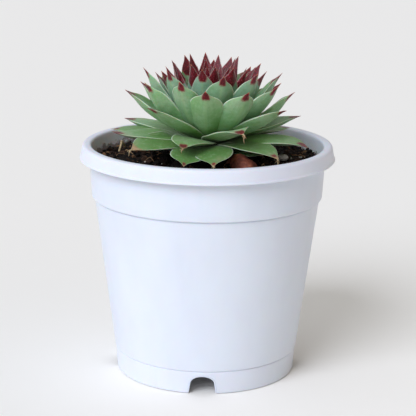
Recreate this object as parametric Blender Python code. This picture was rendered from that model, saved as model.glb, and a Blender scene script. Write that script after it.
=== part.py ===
"""Potted houseleek: a Sempervivum rosette growing in a moulded plastic nursery pot.

Row frame: metres, +Z up. The origin is the centre of the circle that the foot ring stands on, and
-Y points out of one of the four foot notches. Every size below is in millimetres, and MM turns it
into metres where a mesh is made. Each object is one physical piece, named as a node.
"""
import math

import bmesh
import bpy
from mathutils import Matrix, Vector, noise

MM = 0.001

# ---- pot: one injection moulding ----
WALL = 1.3
POT_HEIGHT = 118.3
RIM_RADIUS = 65.0           # outer edge of the lip's skirt, at its foot
RIM_TOP_WIDTH = 2.0         # flat crest of the lip
RIM_SKIRT_HEIGHT = 7.4
RIM_SKIRT_FLARE = 1.5       # the skirt leans out by this much on its way down
RIM_OVERHANG = 4.9          # the skirt's foot stands out from the upper band by this much
LIP_ROUND = 1.3             # round of the lip's inner and outer corners
BAND_HEIGHT = 19.0          # upper band, just under the lip
BAND_TAPER = 1.2
COLLAR_STEP = 1.4           # the band overhangs the wall below it
COLLAR_STEP_HEIGHT = 1.3
FOOT_RADIUS = 46.1
FOOT_BAND_HEIGHT = 12.1
FOOT_BAND_FLARE = 0.75      # the foot band leans out by this much on its way up
FOOT_STEP = 0.45            # the wall overhangs the foot band
FOOT_CHAMFER = 0.3
FLOOR_UNDERSIDE_Z = 10.2
FLOOR_THICKNESS = 1.6
NOTCH_COUNT = 4
NOTCH_WIDTH = 14.2          # at the foot
NOTCH_SHOULDER_WIDTH = 12.6
NOTCH_SHOULDER_Z = 5.1      # the round top starts here
NOTCH_TOP_GAP = 0.9         # of foot ring left between the notch and the floor
DRAIN_COUNT = 4
DRAIN_RADIUS = 4.5
DRAIN_CIRCLE_RADIUS = 30.0
POT_SEGMENTS = 72
ARC_STEPS = 3
NOTCH_ARC_STEPS = 12
LIP_INNER_START = 170.0     # degrees: the inner round meets the wall a little under the crest
LIP_OUTER_END = 12.0        # degrees: the outer round meets the skirt's flare
POT_SMOOTH_ANGLE = 30.0     # degrees: edges sharper than this stay crisp
PIECE_SMOOTH_ANGLE = 40.0
OVERSHOOT = 2.0             # how far a cutter passes the wall that it cuts

# ---- potting soil ----
FIT_GAP = 0.3               # between pieces that touch
HEADSPACE = 9.3             # from the pot's top down to the soil
SOIL_BUMP = 1.1
SOIL_LUMP_SPACING = 13.0    # between the broad swells, in millimetres
SOIL_CRUMB_SPACING = 5.0    # between the small ones, half as high
SOIL_LUMP_SEED = 4.0
SOIL_CRUMB_SEED = 9.0
SOIL_MOUND = 1.2            # the soil stands this much higher round the stem than at the wall
SOIL_SEGMENTS = 36
SOIL_TOP_RINGS = 6
SOCKET_DEPTH = 14.0         # how far the stem goes down into the soil

# ---- rosette: leaf 0 is the oldest, and the age counts up towards the heart ----
# Sizes from here on are in percent of the rosette's radius, as the plant's shape is its own at
# any size. The radius is what the pot's mouth leaves free.
MOUTH_CLEARANCE = 5.6       # between the pot's wall and the long low leaves, in millimetres
LEAF_COUNT = 84
SEPARATE_LEAVES = 52        # the younger ones stand joined in the heart
GOLDEN_ANGLE = 137.508
FACING_LEAF = 26            # this leaf points along -Y, nearly
FACING_TURN = -1.0
STEM_CROWN_RADIUS = 12.4
STEM_TAPER = 0.33           # radius lost for each unit of height above the lowest leaf
STEM_SEGMENTS = 16
LOWEST_LEAF_HEIGHT = 13.2   # where leaf 0 leaves the stem, above the soil
HIGHEST_LEAF_HEIGHT = 37.6
LEAN = 4.1                  # degrees that the rosette leans from upright
LEAN_TOWARDS = 124.0        # degrees from -Y towards +X
LEAN_FULL_HEIGHT = 20.7     # leaves that leave the stem lower down lean less
FAN_CENTRE_HEIGHT = 5.6     # tips are placed by their angle and distance from this point of the axis
# (leaf, value) pairs; values between them are interpolated.
TIP_ELEVATION = ((0, 2.8), (8, 8.4), (14, 14.0), (20, 25.0), (26, 41.0), (34, 48.0), (44, 55.5),
                 (50, 61.0), (60, 69.0), (70, 78.0), (83, 89.0))
TIP_DISTANCE = ((0, 90.0), (8, 95.0), (14, 99.6), (20, 100.6), (26, 106.2), (36, 109.0),
                (44, 106.2), (50, 102.4), (60, 94.9), (70, 87.4), (83, 77.0))
LEAF_WIDTH = ((0, 35.7), (12, 37.6), (20, 36.6), (26, 33.4), (40, 30.0), (50, 25.4), (60, 19.7),
              (70, 13.2), (83, 5.6))
LEAF_THICKNESS = ((0, 3.8), (10, 4.3), (20, 5.8), (34, 6.2), (52, 4.5), (66, 3.4), (83, 2.3))
LEAF_CUP = ((0, 1.3), (20, 2.3), (34, 3.6), (60, 2.6), (83, 0.9))
# Degrees that the midrib's two ends turn from the line between them.
BASE_BEND = ((0, 20.0), (8, 18.0), (14, 14.0), (20, 6.0), (28, -14.0), (50, -14.0), (83, -3.0))
TIP_BEND = ((0, -16.0), (8, -14.0), (14, -8.0), (20, 2.0), (28, 20.0), (50, 16.0), (83, 3.0))
# Where single leaves stand off the spiral, in degrees.
LEAF_TURN = {0: 7.0, 10: 5.0, 21: -6.0, 23: 6.0, 36: -6.0}
# Outline and thickness along the leaf, as shares of its greatest width and thickness.
OUTLINE = ((0.0, 0.24), (0.14, 0.34), (0.3, 0.58), (0.47, 0.86), (0.62, 0.98), (0.76, 1.0),
           (0.87, 0.82), (0.94, 0.40))
BODY = ((0.0, 0.22), (0.2, 0.5), (0.47, 1.0), (0.62, 1.0), (0.87, 0.66), (0.94, 0.4))
UPPER_SHARE = 0.3           # of the thickness, above the leaf's middle surface
SECTION = (-1.0, -0.55, 0.0, 0.55, 1.0)
HEART_OUTLINE = ((0.0, 0.4), (0.5, 0.9), (0.8, 0.92), (0.92, 0.5))
HEART_JOIN = 3.6            # how deep the youngest leaves start inside the stem's line
HEART_DROP = 2.2            # the core's foot below the lowest of them
# (share of the core's height, how far it stands out from the top of the stem)
HEART_CORE = ((0.0, -3.1), (0.4, 1.3), (0.7, -0.6))
HEART_CORE_HEIGHT = 37.6
HEART_SEGMENTS = 12

# ---- what lies on the soil, in percent of the rosette's radius ----
WITHERED_AZIMUTH = 26.0
WITHERED_MIDRIB = ((32.0, 6.6), (45.0, 13.2), (58.0, 13.2), (71.0, 5.3))   # (radius, height)
WITHERED_WIDTH = 20.7
WITHERED_THICKNESS = 1.5
WITHERED_CUP = -4.1
STRAW_START = (-87.4, 22.6)
STRAW_END = (-83.6, 45.1)
STRAW_RISE = 7.5
STRAW_RADIUS = 1.1
STRAW_RINGS = 8
STRAW_SIDES = 6
PEBBLE_PLACE = (72.4, -11.3)
PEBBLE_SIZE = (6.0, 4.5, 3.0)
PEBBLE_LUMPS = 0.15
PEBBLE_LUMP_PITCH = 1.7     # lumps for each pebble radius

WHITE_PLASTIC = ("white_plastic", (0.80, 0.83, 0.90), 0.42)
DARK_SOIL = ("dark_soil", (0.035, 0.022, 0.015), 0.95)
PALE_STEM = ("pale_stem", (0.36, 0.38, 0.20), 0.7)
LEAF_GREEN = ("leaf_green", (0.22, 0.42, 0.20), 0.55)
HEART_RED = ("heart_red", (0.24, 0.03, 0.05), 0.5)
DRY_BROWN = ("dry_brown", (0.22, 0.09, 0.05), 0.85)
STRAW_TAN = ("straw_tan", (0.50, 0.38, 0.24), 0.85)
PALE_GRIT = ("pale_grit", (0.68, 0.66, 0.60), 0.9)


def clear_scene():
    for obj in list(bpy.data.objects):
        bpy.data.objects.remove(obj)


def material(finish):
    name, colour, roughness = finish
    made = bpy.data.materials.get(name)
    if made is None:
        made = bpy.data.materials.new(name)
        made.use_nodes = True
        shader = made.node_tree.nodes["Principled BSDF"]
        shader.inputs["Base Color"].default_value = (*colour, 1.0)
        shader.inputs["Roughness"].default_value = roughness
        shader.inputs["Metallic"].default_value = 0.0
    return made


def add_object(name, points, faces, finish, smooth_degrees=PIECE_SMOOTH_ANGLE):
    """An object from points in millimetres and faces by index, with its faces turned outwards."""
    mesh = bpy.data.meshes.new(name)
    mesh.from_pydata([Vector(p) * MM for p in points], [], faces)
    shape = bmesh.new()
    shape.from_mesh(mesh)
    bmesh.ops.recalc_face_normals(shape, faces=shape.faces)
    shape.to_mesh(mesh)
    shape.free()
    mesh.shade_smooth()
    mesh.set_sharp_from_angle(angle=math.radians(smooth_degrees))
    mesh.materials.append(material(finish))
    obj = bpy.data.objects.new(name, mesh)
    bpy.context.scene.collection.objects.link(obj)
    return obj


def add_cutter(name, points, faces, target, operation="DIFFERENCE"):
    """A hidden helper that a Boolean takes from, or adds to, the target."""
    cutter = add_object(name, points, faces, WHITE_PLASTIC)
    cutter.hide_render = True
    cutter.display_type = "WIRE"
    cut = target.modifiers.new(name, "BOOLEAN")
    cut.operation = operation
    cut.solver = "EXACT"
    cut.object = cutter
    return cutter


def between(pairs, at):
    """The value at a place among (place, value) pairs, on straight lines between them."""
    for (low, first), (high, second) in zip(pairs, pairs[1:]):
        if at <= high:
            return first + (second - first) * max(0.0, at - low) / (high - low)
    return pairs[-1][1]


def lathe(profile, segments):
    """Points and faces of a closed (radius, z) profile turned round Z. A radius of 0 is one point."""
    points = []
    rings = []
    for radius, z in profile:
        if radius == 0.0:
            rings.append([len(points)] * segments)
            points.append((0.0, 0.0, z))
            continue
        rings.append(list(range(len(points), len(points) + segments)))
        for step in range(segments):
            angle = 2 * math.pi * step / segments
            points.append((radius * math.sin(angle), -radius * math.cos(angle), z))
    faces = []
    pairs = list(zip(rings, rings[1:]))
    if profile[0][0] > 0.0:
        pairs.append((rings[-1], rings[0]))
    for lower, upper in pairs:
        for step in range(segments):
            after = (step + 1) % segments
            corners = [lower[step], lower[after], upper[after], upper[step]]
            faces.append(list(dict.fromkeys(corners)))
    return points, faces


def arc(centre, radius, start, end, steps):
    """Points of an arc in the (radius, z) plane, in degrees from the outward direction."""
    angles = [math.radians(start + (end - start) * i / steps) for i in range(steps + 1)]
    return [(centre[0] + radius * math.cos(a), centre[1] + radius * math.sin(a)) for a in angles]


# ---- pot ----

def skirt_foot_z():
    return POT_HEIGHT - RIM_SKIRT_HEIGHT


def wall_outline():
    """The outer (radius, z) of the wall, from under the lip to the foot band."""
    band_radius = RIM_RADIUS - RIM_OVERHANG - BAND_TAPER
    band_foot = skirt_foot_z() - BAND_HEIGHT
    return [(band_radius + BAND_TAPER, skirt_foot_z()), (band_radius, band_foot),
            (band_radius - COLLAR_STEP, band_foot - COLLAR_STEP_HEIGHT),
            (FOOT_RADIUS + FOOT_BAND_FLARE + FOOT_STEP, FOOT_BAND_HEIGHT)]


def inner_outline():
    """The inner (radius, z) of the wall, from the top of the floor up to under the lip's round."""
    outline = [(radius - WALL, z) for radius, z in reversed(wall_outline())]
    outline[0] = (outline[0][0], FLOOR_UNDERSIDE_Z + FLOOR_THICKNESS)
    return outline


def pot_profile():
    skirt_top = RIM_RADIUS - RIM_SKIRT_FLARE
    crest_outer = skirt_top - LIP_ROUND
    crest_inner = crest_outer - RIM_TOP_WIDTH
    round_z = POT_HEIGHT - LIP_ROUND
    bead = LIP_ROUND / 2
    under_lip = POT_HEIGHT - WALL
    foot_inner = FOOT_RADIUS - WALL
    foot_band_top = FOOT_RADIUS + FOOT_BAND_FLARE
    return [
        (0.0, FLOOR_UNDERSIDE_Z + FLOOR_THICKNESS),
        *inner_outline(),
        *arc((crest_inner, round_z), LIP_ROUND, LIP_INNER_START, 90.0, ARC_STEPS),
        *arc((crest_outer, round_z), LIP_ROUND, 90.0, LIP_OUTER_END, ARC_STEPS),
        (RIM_RADIUS, skirt_foot_z() + bead),
        (RIM_RADIUS - WALL / 2, skirt_foot_z()),
        (RIM_RADIUS - WALL, skirt_foot_z() + bead),
        (skirt_top - WALL, under_lip - bead),
        (skirt_top - WALL - bead, under_lip),
        (wall_outline()[0][0] + bead / 2, under_lip),
        *wall_outline(),
        (foot_band_top, FOOT_BAND_HEIGHT - FOOT_STEP),
        (FOOT_RADIUS, FOOT_CHAMFER),
        (FOOT_RADIUS - FOOT_CHAMFER, 0.0),
        (foot_inner + FOOT_CHAMFER, 0.0),
        (foot_inner, FOOT_CHAMFER),
        (foot_inner, FLOOR_UNDERSIDE_Z),
        (0.0, FLOOR_UNDERSIDE_Z),
    ]


def prism(outline, near, far):
    """Points and faces of an (x, z) outline pushed along Y."""
    count = len(outline)
    points = [(x, near, z) for x, z in outline] + [(x, far, z) for x, z in outline]
    faces = [list(range(count)), list(range(2 * count - 1, count - 1, -1))]
    faces += [[i, (i + 1) % count, (i + 1) % count + count, i + count] for i in range(count)]
    return points, faces


def notch_outline():
    """An arch that is open at the bottom: straight, leaning sides under a flattened round top."""
    half = NOTCH_SHOULDER_WIDTH / 2
    rise = FLOOR_UNDERSIDE_Z - NOTCH_TOP_GAP - NOTCH_SHOULDER_Z
    lean = (NOTCH_WIDTH / 2 - half) / NOTCH_SHOULDER_Z
    foot = half + lean * (NOTCH_SHOULDER_Z + OVERSHOOT)
    unit_arc = arc((0.0, 0.0), 1.0, 0.0, 180.0, NOTCH_ARC_STEPS)
    top = [(half * x, NOTCH_SHOULDER_Z + rise * z) for x, z in unit_arc]
    return [(foot, -OVERSHOOT), *top, (-foot, -OVERSHOOT)]


def turned(points, degrees):
    turn = Matrix.Rotation(math.radians(degrees), 3, "Z")
    return [turn @ Vector(p) for p in points]


def build_pot():
    pot = add_object("pot", *lathe(pot_profile(), POT_SEGMENTS), WHITE_PLASTIC, POT_SMOOTH_ANGLE)
    outside = FOOT_RADIUS + FOOT_BAND_FLARE + OVERSHOOT
    inside = FOOT_RADIUS - WALL - OVERSHOOT
    arch, arch_faces = prism(notch_outline(), -outside, -inside)
    for i in range(NOTCH_COUNT):
        place = turned(arch, 360.0 * i / NOTCH_COUNT)
        add_cutter(f"notch_cutter_{i + 1}", place, arch_faces, pot)
    low = FLOOR_UNDERSIDE_Z - OVERSHOOT
    high = FLOOR_UNDERSIDE_Z + FLOOR_THICKNESS + OVERSHOOT
    hole = [(0.0, low), (DRAIN_RADIUS, low), (DRAIN_RADIUS, high), (0.0, high)]
    drill, drill_faces = lathe(hole, STEM_SEGMENTS)
    drill = [Vector(p) + Vector((0.0, -DRAIN_CIRCLE_RADIUS, 0.0)) for p in drill]
    for i in range(DRAIN_COUNT):
        place = turned(drill, 360.0 * i / DRAIN_COUNT)
        add_cutter(f"drain_cutter_{i + 1}", place, drill_faces, pot)
    return pot


# ---- heights and radii that the plant and the soil share ----

def inner_radius(z):
    """The pot's inner radius at a height."""
    return between([(height, radius) for radius, height in inner_outline()], z)


def soil_top_z():
    return POT_HEIGHT - HEADSPACE


def grown(percent):
    """Millimetres from a size in percent of the rosette's radius."""
    return percent / 100 * (inner_radius(soil_top_z()) - MOUTH_CLEARANCE)


def above_soil(percent):
    return soil_top_z() + grown(percent)


def soil_height(x, y):
    """The height of the soil's top over a point."""
    away = math.hypot(x, y) / inner_radius(soil_top_z())
    lumps = noise.noise(Vector((x, y, SOIL_LUMP_SEED)) / SOIL_LUMP_SPACING)
    crumbs = noise.noise(Vector((x, y, SOIL_CRUMB_SEED)) / SOIL_CRUMB_SPACING) / 2
    return soil_top_z() + SOIL_MOUND * (1.0 - away * away) + SOIL_BUMP * (lumps + crumbs)


def leaf_foot_z(leaf):
    """The height at which a leaf leaves the stem."""
    return above_soil(between(((0, LOWEST_LEAF_HEIGHT), (LEAF_COUNT - 1, HIGHEST_LEAF_HEIGHT)), leaf))


def stem_radius(z):
    """The stem narrows upwards from its lowest leaf."""
    return grown(STEM_CROWN_RADIUS) - STEM_TAPER * max(0.0, z - leaf_foot_z(0))


def stem_top_z():
    return leaf_foot_z(SEPARATE_LEAVES) - grown(HEART_DROP)


def leaned(points, z):
    """Points turned by the rosette's lean, as far as it has built up at height z on the stem."""
    share = between(((leaf_foot_z(0), 0.0), (above_soil(LEAN_FULL_HEIGHT), 1.0)), z)
    towards = math.radians(LEAN_TOWARDS)
    axle = Vector((math.cos(towards), math.sin(towards), 0.0))
    turn = Matrix.Rotation(math.radians(LEAN * share), 3, axle)
    centre = Vector((0.0, 0.0, above_soil(FAN_CENTRE_HEIGHT)))
    return [centre + turn @ (Vector(p) - centre) for p in points]


# ---- soil and stem ----

def build_soil():
    """A plug of soil as wide as the pot inside, with a bumpy top and a socket for the stem."""
    floor_top = FLOOR_UNDERSIDE_Z + FLOOR_THICKNESS + FIT_GAP
    socket_radius = grown(STEM_CROWN_RADIUS) + FIT_GAP
    socket_floor = soil_top_z() - SOCKET_DEPTH - FIT_GAP
    side = [(radius - FIT_GAP, z) for radius, z in inner_outline() if z < soil_top_z()]
    side[0] = (side[0][0], floor_top)
    edge = inner_radius(soil_top_z() - SOIL_BUMP) - FIT_GAP
    step = (socket_radius - edge) / SOIL_TOP_RINGS
    top_radii = [edge + step * i for i in range(SOIL_TOP_RINGS + 1)]
    profile = [(0.0, floor_top), *side, *[(radius, soil_top_z()) for radius in top_radii],
               (socket_radius, socket_floor), (0.0, socket_floor)]
    points, faces = lathe(profile, SOIL_SEGMENTS)
    first_top = 1 + len(side) * SOIL_SEGMENTS
    last_top = first_top + len(top_radii) * SOIL_SEGMENTS
    for i in range(first_top, last_top):
        x, y, _ = points[i]
        points[i] = (x, y, soil_height(x, y))
    return add_object("potting_soil", points, faces, DARK_SOIL)


def build_stem():
    """A short stem: a blunt root end in the soil, and a column that leans with the rosette."""
    foot = soil_top_z() - SOCKET_DEPTH
    crown = grown(STEM_CROWN_RADIUS)
    lean_full = above_soil(LEAN_FULL_HEIGHT)
    top = stem_top_z()
    profile = [(0.0, foot), (crown / 2, foot), (crown, foot + SOCKET_DEPTH / 2),
               (crown, leaf_foot_z(0)), (stem_radius(lean_full), lean_full),
               (stem_radius(top), top), (0.0, top)]
    points, faces = lathe(profile, STEM_SEGMENTS)
    points = [leaned([point], point[2])[0] for point in points]
    return add_object("stem", points, faces, PALE_STEM)


# ---- leaves ----

def midrib(leaf):
    """Four control points (radius, z) of the leaf's midrib, from the stem to the tip."""
    z = leaf_foot_z(leaf)
    clear = FIT_GAP if leaf < SEPARATE_LEAVES else -grown(HEART_JOIN)
    base = Vector((stem_radius(z) + clear, z))
    elevation = math.radians(between(TIP_ELEVATION, leaf))
    distance = grown(between(TIP_DISTANCE, leaf))
    tip = distance * Vector((math.cos(elevation), math.sin(elevation)))
    tip.y += above_soil(FAN_CENTRE_HEIGHT)
    chord = tip - base
    slope = math.atan2(chord.y, chord.x)
    start = slope + math.radians(between(BASE_BEND, leaf))
    end = slope + math.radians(between(TIP_BEND, leaf))
    reach = chord.length / 3
    return (base,
            base + reach * Vector((math.cos(start), math.sin(start))),
            tip - reach * Vector((math.cos(end), math.sin(end))),
            tip)


def on_curve(control, s):
    """The point and direction of a cubic Bezier curve at s."""
    a, b, c, d = control
    r = 1.0 - s
    point = r ** 3 * a + 3 * r * r * s * b + 3 * r * s * s * c + s ** 3 * d
    along = r * r * (b - a) + 2 * r * s * (c - b) + s * s * (d - c)
    return point, along.normalized()


def blade(control, sizes, azimuth, outline=OUTLINE):
    """A leaf's points and faces: a cupped blade with a rounded back, on rings along its midrib."""
    width, thickness, cup = sizes
    angle = math.radians(azimuth)
    outward = Vector((math.sin(angle), -math.cos(angle), 0.0))
    across = Vector((math.cos(angle), math.sin(angle), 0.0))
    section = [(v, UPPER_SHARE) for v in SECTION]
    section += [(v, UPPER_SHARE - 1.0) for v in reversed(SECTION[1:-1])]
    points = []
    for s, share in outline:
        place, along = on_curve(control, s)
        middle = outward * place.x + Vector((0.0, 0.0, place.y))
        normal = -outward * along.y + Vector((0.0, 0.0, along.x))
        body = thickness * between(BODY, s)
        for v, side in section:
            height = cup * share * v * v + body * side * (1.0 - v * v)
            points.append(middle + across * (width / 2 * share * v) + normal * height)
    tip = control[-1]
    points.append(outward * tip.x + Vector((0.0, 0.0, tip.y)))
    count = len(section)
    last = (len(outline) - 1) * count
    faces = [list(range(count))]
    for low in range(0, last, count):
        for i in range(count):
            after = (i + 1) % count
            faces.append([low + i, low + after, low + count + after, low + count + i])
    faces += [[last + i, last + (i + 1) % count, len(points) - 1] for i in range(count)]
    return points, faces


def rosette_leaf(leaf, outline=OUTLINE):
    azimuth = FACING_TURN - GOLDEN_ANGLE * (leaf - FACING_LEAF) + LEAF_TURN.get(leaf, 0.0)
    sizes = [grown(between(table, leaf)) for table in (LEAF_WIDTH, LEAF_THICKNESS, LEAF_CUP)]
    points, faces = blade(midrib(leaf), sizes, azimuth, outline)
    return leaned(points, leaf_foot_z(leaf)), faces


def build_leaves():
    for leaf in range(SEPARATE_LEAVES):
        add_object(f"leaf_{leaf + 1:02d}", *rosette_leaf(leaf), LEAF_GREEN)


def build_heart():
    """The youngest leaves, closed round the growing point and joined at their feet."""
    foot = stem_top_z() + FIT_GAP
    height = grown(HEART_CORE_HEIGHT)
    stem = stem_radius(stem_top_z())
    core = [(stem + grown(out), foot + height * share) for share, out in HEART_CORE]
    points, faces = lathe([(0.0, foot), *core, (0.0, foot + height)], HEART_SEGMENTS)
    heart = add_object("heart_leaves", leaned(points, foot), faces, HEART_RED)
    for leaf in range(SEPARATE_LEAVES, LEAF_COUNT):
        add_cutter(f"heart_leaf_{leaf + 1:02d}", *rosette_leaf(leaf, HEART_OUTLINE), heart, "UNION")
    return heart


# ---- what lies on the soil ----

def build_withered_leaf():
    control = [Vector((grown(radius), above_soil(height))) for radius, height in WITHERED_MIDRIB]
    sizes = [grown(size) for size in (WITHERED_WIDTH, WITHERED_THICKNESS, WITHERED_CUP)]
    return add_object("withered_leaf", *blade(control, sizes, WITHERED_AZIMUTH), DRY_BROWN)


def build_straw():
    """A bowed stalk with both ends on the soil."""
    start = Vector([grown(value) for value in STRAW_START])
    end = Vector([grown(value) for value in STRAW_END])
    radius = grown(STRAW_RADIUS)
    ground = max(soil_height(*start), soil_height(*end)) + radius + FIT_GAP
    along = (end - start).normalized()
    aside = Vector((-along.y, along.x, 0.0)) * radius
    upward = Vector((0.0, 0.0, radius))
    points = []
    for ring in range(STRAW_RINGS + 1):
        share = ring / STRAW_RINGS
        bow = grown(STRAW_RISE) * 4.0 * share * (1.0 - share)
        middle = start.lerp(end, share).to_3d() + Vector((0.0, 0.0, ground + bow))
        for side in range(STRAW_SIDES):
            angle = 2 * math.pi * side / STRAW_SIDES
            points.append(middle + aside * math.cos(angle) + upward * math.sin(angle))
    last = STRAW_RINGS * STRAW_SIDES
    faces = [list(range(STRAW_SIDES)), list(range(last, last + STRAW_SIDES))]
    for low in range(0, last, STRAW_SIDES):
        for i in range(STRAW_SIDES):
            after = (i + 1) % STRAW_SIDES
            high = low + STRAW_SIDES
            faces.append([low + i, low + after, high + after, high + i])
    return add_object("straw", points, faces, STRAW_TAN)


def build_pebble():
    shape = bmesh.new()
    bmesh.ops.create_icosphere(shape, subdivisions=2, radius=1.0)
    x, y = [grown(value) for value in PEBBLE_PLACE]
    size = Vector([grown(value) for value in PEBBLE_SIZE])
    centre = Vector((x, y, soil_height(x, y) + SOIL_BUMP / 2 + FIT_GAP + size.z))
    points = []
    for vertex in shape.verts:
        lumpy = vertex.co * (1.0 + PEBBLE_LUMPS * noise.noise(vertex.co * PEBBLE_LUMP_PITCH))
        points.append(centre + lumpy * size)
    faces = [[vertex.index for vertex in face.verts] for face in shape.faces]
    shape.free()
    return add_object("pebble", points, faces, PALE_GRIT)


clear_scene()
build_pot()
build_soil()
build_stem()
build_leaves()
build_heart()
build_withered_leaf()
build_straw()
build_pebble()
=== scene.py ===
"""Looks of the potted houseleek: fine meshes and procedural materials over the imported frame.

The rosette follows the same growth rules as the CAD leaves, with many more points in each leaf.
Sizes are in millimetres until a mesh is made. Azimuths are degrees from -Y towards +X.
"""
import math
import random

import bmesh
import bpy
import numpy as np
from mathutils import Matrix, Vector, noise


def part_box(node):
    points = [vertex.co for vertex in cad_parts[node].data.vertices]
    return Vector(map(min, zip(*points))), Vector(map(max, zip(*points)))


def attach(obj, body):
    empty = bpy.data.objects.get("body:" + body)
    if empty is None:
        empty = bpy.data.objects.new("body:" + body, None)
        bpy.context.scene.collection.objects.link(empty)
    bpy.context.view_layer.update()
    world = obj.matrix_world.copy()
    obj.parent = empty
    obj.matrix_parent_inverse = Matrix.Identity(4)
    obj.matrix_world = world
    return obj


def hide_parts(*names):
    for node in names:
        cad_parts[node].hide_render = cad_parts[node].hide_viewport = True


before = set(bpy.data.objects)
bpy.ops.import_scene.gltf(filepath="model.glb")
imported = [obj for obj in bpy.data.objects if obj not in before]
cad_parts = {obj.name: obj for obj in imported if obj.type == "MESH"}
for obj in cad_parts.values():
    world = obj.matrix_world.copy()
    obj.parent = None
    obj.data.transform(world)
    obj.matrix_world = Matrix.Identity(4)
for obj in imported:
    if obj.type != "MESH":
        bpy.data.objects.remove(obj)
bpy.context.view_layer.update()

MM = 0.001
POT_CORNER = Vector(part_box("pot")[1]) / MM
RIM_RADIUS = POT_CORNER.x
POT_HEIGHT = POT_CORNER.z

# ---- the pot's section, as moulded ----
WALL = 1.3
RIM_TOP_WIDTH = 2.0
RIM_SKIRT_HEIGHT = 7.4
RIM_SKIRT_FLARE = 1.5
RIM_OVERHANG = 4.9
LIP_ROUND = 1.3
BAND_HEIGHT = 19.0
BAND_TAPER = 1.2
COLLAR_STEP = 1.4
COLLAR_STEP_HEIGHT = 1.3
FOOT_RADIUS = 46.1
FOOT_BAND_HEIGHT = 12.1
FOOT_BAND_FLARE = 0.75
FOOT_STEP = 0.45
FLOOR_UNDERSIDE_Z = 10.2
FLOOR_THICKNESS = 1.6
NOTCH_WIDTH = 14.2
NOTCH_SHOULDER_WIDTH = 12.6
NOTCH_SHOULDER_Z = 5.1
NOTCH_TOP_GAP = 0.9
NOTCH_COUNT = 4             # and as many drain holes
DRAIN_RADIUS = 4.5
DRAIN_CIRCLE_RADIUS = 30.0
POT_SEGMENTS = 256
POT_SMOOTH_ANGLE = 50.0
BEAD = 0.55                 # the fine bead at the skirt's foot

# ---- soil ----
FIT_GAP = 0.3
HEADSPACE = 9.3
SOIL_BUMP = 1.1
SOIL_MOUND = 1.2
SOCKET_DEPTH = 14.0
SOIL_RINGS = 96
SOIL_AROUND = 300
SOIL_SIDE_STEPS = 20
SOIL_SIDE_FOOT_Z = 12.4
SOIL_UNDERSIDE_Z = 12.2
CRUMBS = 1700
BARK_CHIPS = 90
FIBRES = 150
LOOSE_GRIT = 12
# Grit and bits that the photo shows, from straight in front: (right, back, size or how many).
SEEN_GRIT = ((48.2, 6.4, 0.7), (42.6, -1.0, 0.8), (-22.6, -18.3, 0.6), (-31.4, -11.8, 0.6), (50.5, 1.5, 0.5))
WALL_BITS = ((-49.8, 16.6, 26), (54.3, 14.4, 12), (-52.0, 8.0, 18), (52.0, 20.0, 8))
WALL_BITS_RADIUS = 56.0
SOIL_SEED = 11
LEAF_SEED = 100             # plus the leaf's number
WITHERED_SEED = 5
WITHERED_TURN = 31.0
PUSH_OFFSETS = ((9.3, 1.5, 8.0), (3.1, 7.7, 2.4), (5.9, 4.2, 6.6))
STRAW_STEPS = 25
STRAW_JOINT = 14

# ---- rosette, in percent of its radius ----
MOUTH_CLEARANCE = 5.6
LEAF_COUNT = 84
SEPARATE_LEAVES = 52
GOLDEN_ANGLE = 137.508
FACING_LEAF = 26
FACING_TURN = -1.0
STEM_CROWN_RADIUS = 12.4
STEM_TAPER = 0.33
LOWEST_LEAF_HEIGHT = 13.2
HIGHEST_LEAF_HEIGHT = 37.6
LEAN = 4.1
LEAN_TOWARDS = 124.0
LEAN_FULL_HEIGHT = 20.7
FAN_CENTRE_HEIGHT = 5.6
TIP_ELEVATION = ((0, 2.8), (8, 8.4), (14, 14.0), (20, 25.0), (26, 41.0), (34, 48.0), (44, 55.5),
                 (50, 61.0), (60, 69.0), (70, 78.0), (83, 89.0))
TIP_DISTANCE = ((0, 90.0), (8, 95.0), (14, 99.6), (20, 100.6), (26, 106.2), (36, 109.0),
                (44, 107.5), (50, 104.5), (60, 96.0), (70, 89.0), (83, 79.0))
LEAF_WIDTH = ((0, 35.7), (12, 37.6), (20, 36.6), (26, 33.4), (40, 30.0), (50, 25.4), (60, 19.7),
              (70, 13.2), (83, 5.6))
LEAF_THICKNESS = ((0, 5.2), (10, 5.8), (20, 6.8), (34, 6.6), (52, 4.7), (66, 3.6), (83, 2.4))
LEAF_CUP = ((0, 0.3), (10, 0.6), (16, 1.4), (20, 3.0), (26, 4.4), (34, 4.2), (60, 2.8), (83, 0.9))
BASE_BEND = ((0, 24.0), (8, 22.0), (14, 18.0), (20, 8.0), (28, -14.0), (50, -14.0), (83, -3.0))
TIP_BEND = ((0, -16.0), (8, -14.0), (14, -8.0), (20, 2.0), (28, 20.0), (50, 16.0), (83, 3.0))
LEAF_TURN = {0: 7.0, 10: 5.0, 21: -6.0, 23: 6.0, 36: -6.0}
UPPER_SHARE = 0.3
HEART_JOIN = 3.6

# Finer shapes than the CAD leaves: (place along the leaf, share of its greatest width).
GROWN_OUTLINE = ((0.0, 0.6), (0.12, 0.8), (0.28, 0.95), (0.45, 1.0), (0.58, 1.0), (0.68, 0.99),
                 (0.76, 0.93), (0.82, 0.81), (0.862, 0.65), (0.893, 0.44), (0.915, 0.28),
                 (0.937, 0.185), (0.965, 0.1), (1.0, 0.01))
TAPERED_OUTLINE = ((0.0, 0.56), (0.12, 0.74), (0.28, 0.93), (0.42, 1.0), (0.54, 0.99), (0.64, 0.93),
                   (0.73, 0.82), (0.8, 0.69), (0.86, 0.53), (0.905, 0.37), (0.94, 0.22),
                   (0.97, 0.11), (1.0, 0.01))
YOUNG_OUTLINE = ((0.0, 0.6), (0.25, 0.85), (0.42, 1.0), (0.53, 1.04), (0.61, 0.99), (0.69, 0.83),
                 (0.77, 0.62), (0.86, 0.38), (0.94, 0.17), (1.0, 0.01))
BODY = ((0.0, 0.22), (0.2, 0.5), (0.47, 1.0), (0.62, 1.0), (0.78, 0.78), (0.86, 0.48), (0.92, 0.27),
        (0.97, 0.11), (1.0, 0.03))
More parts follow.
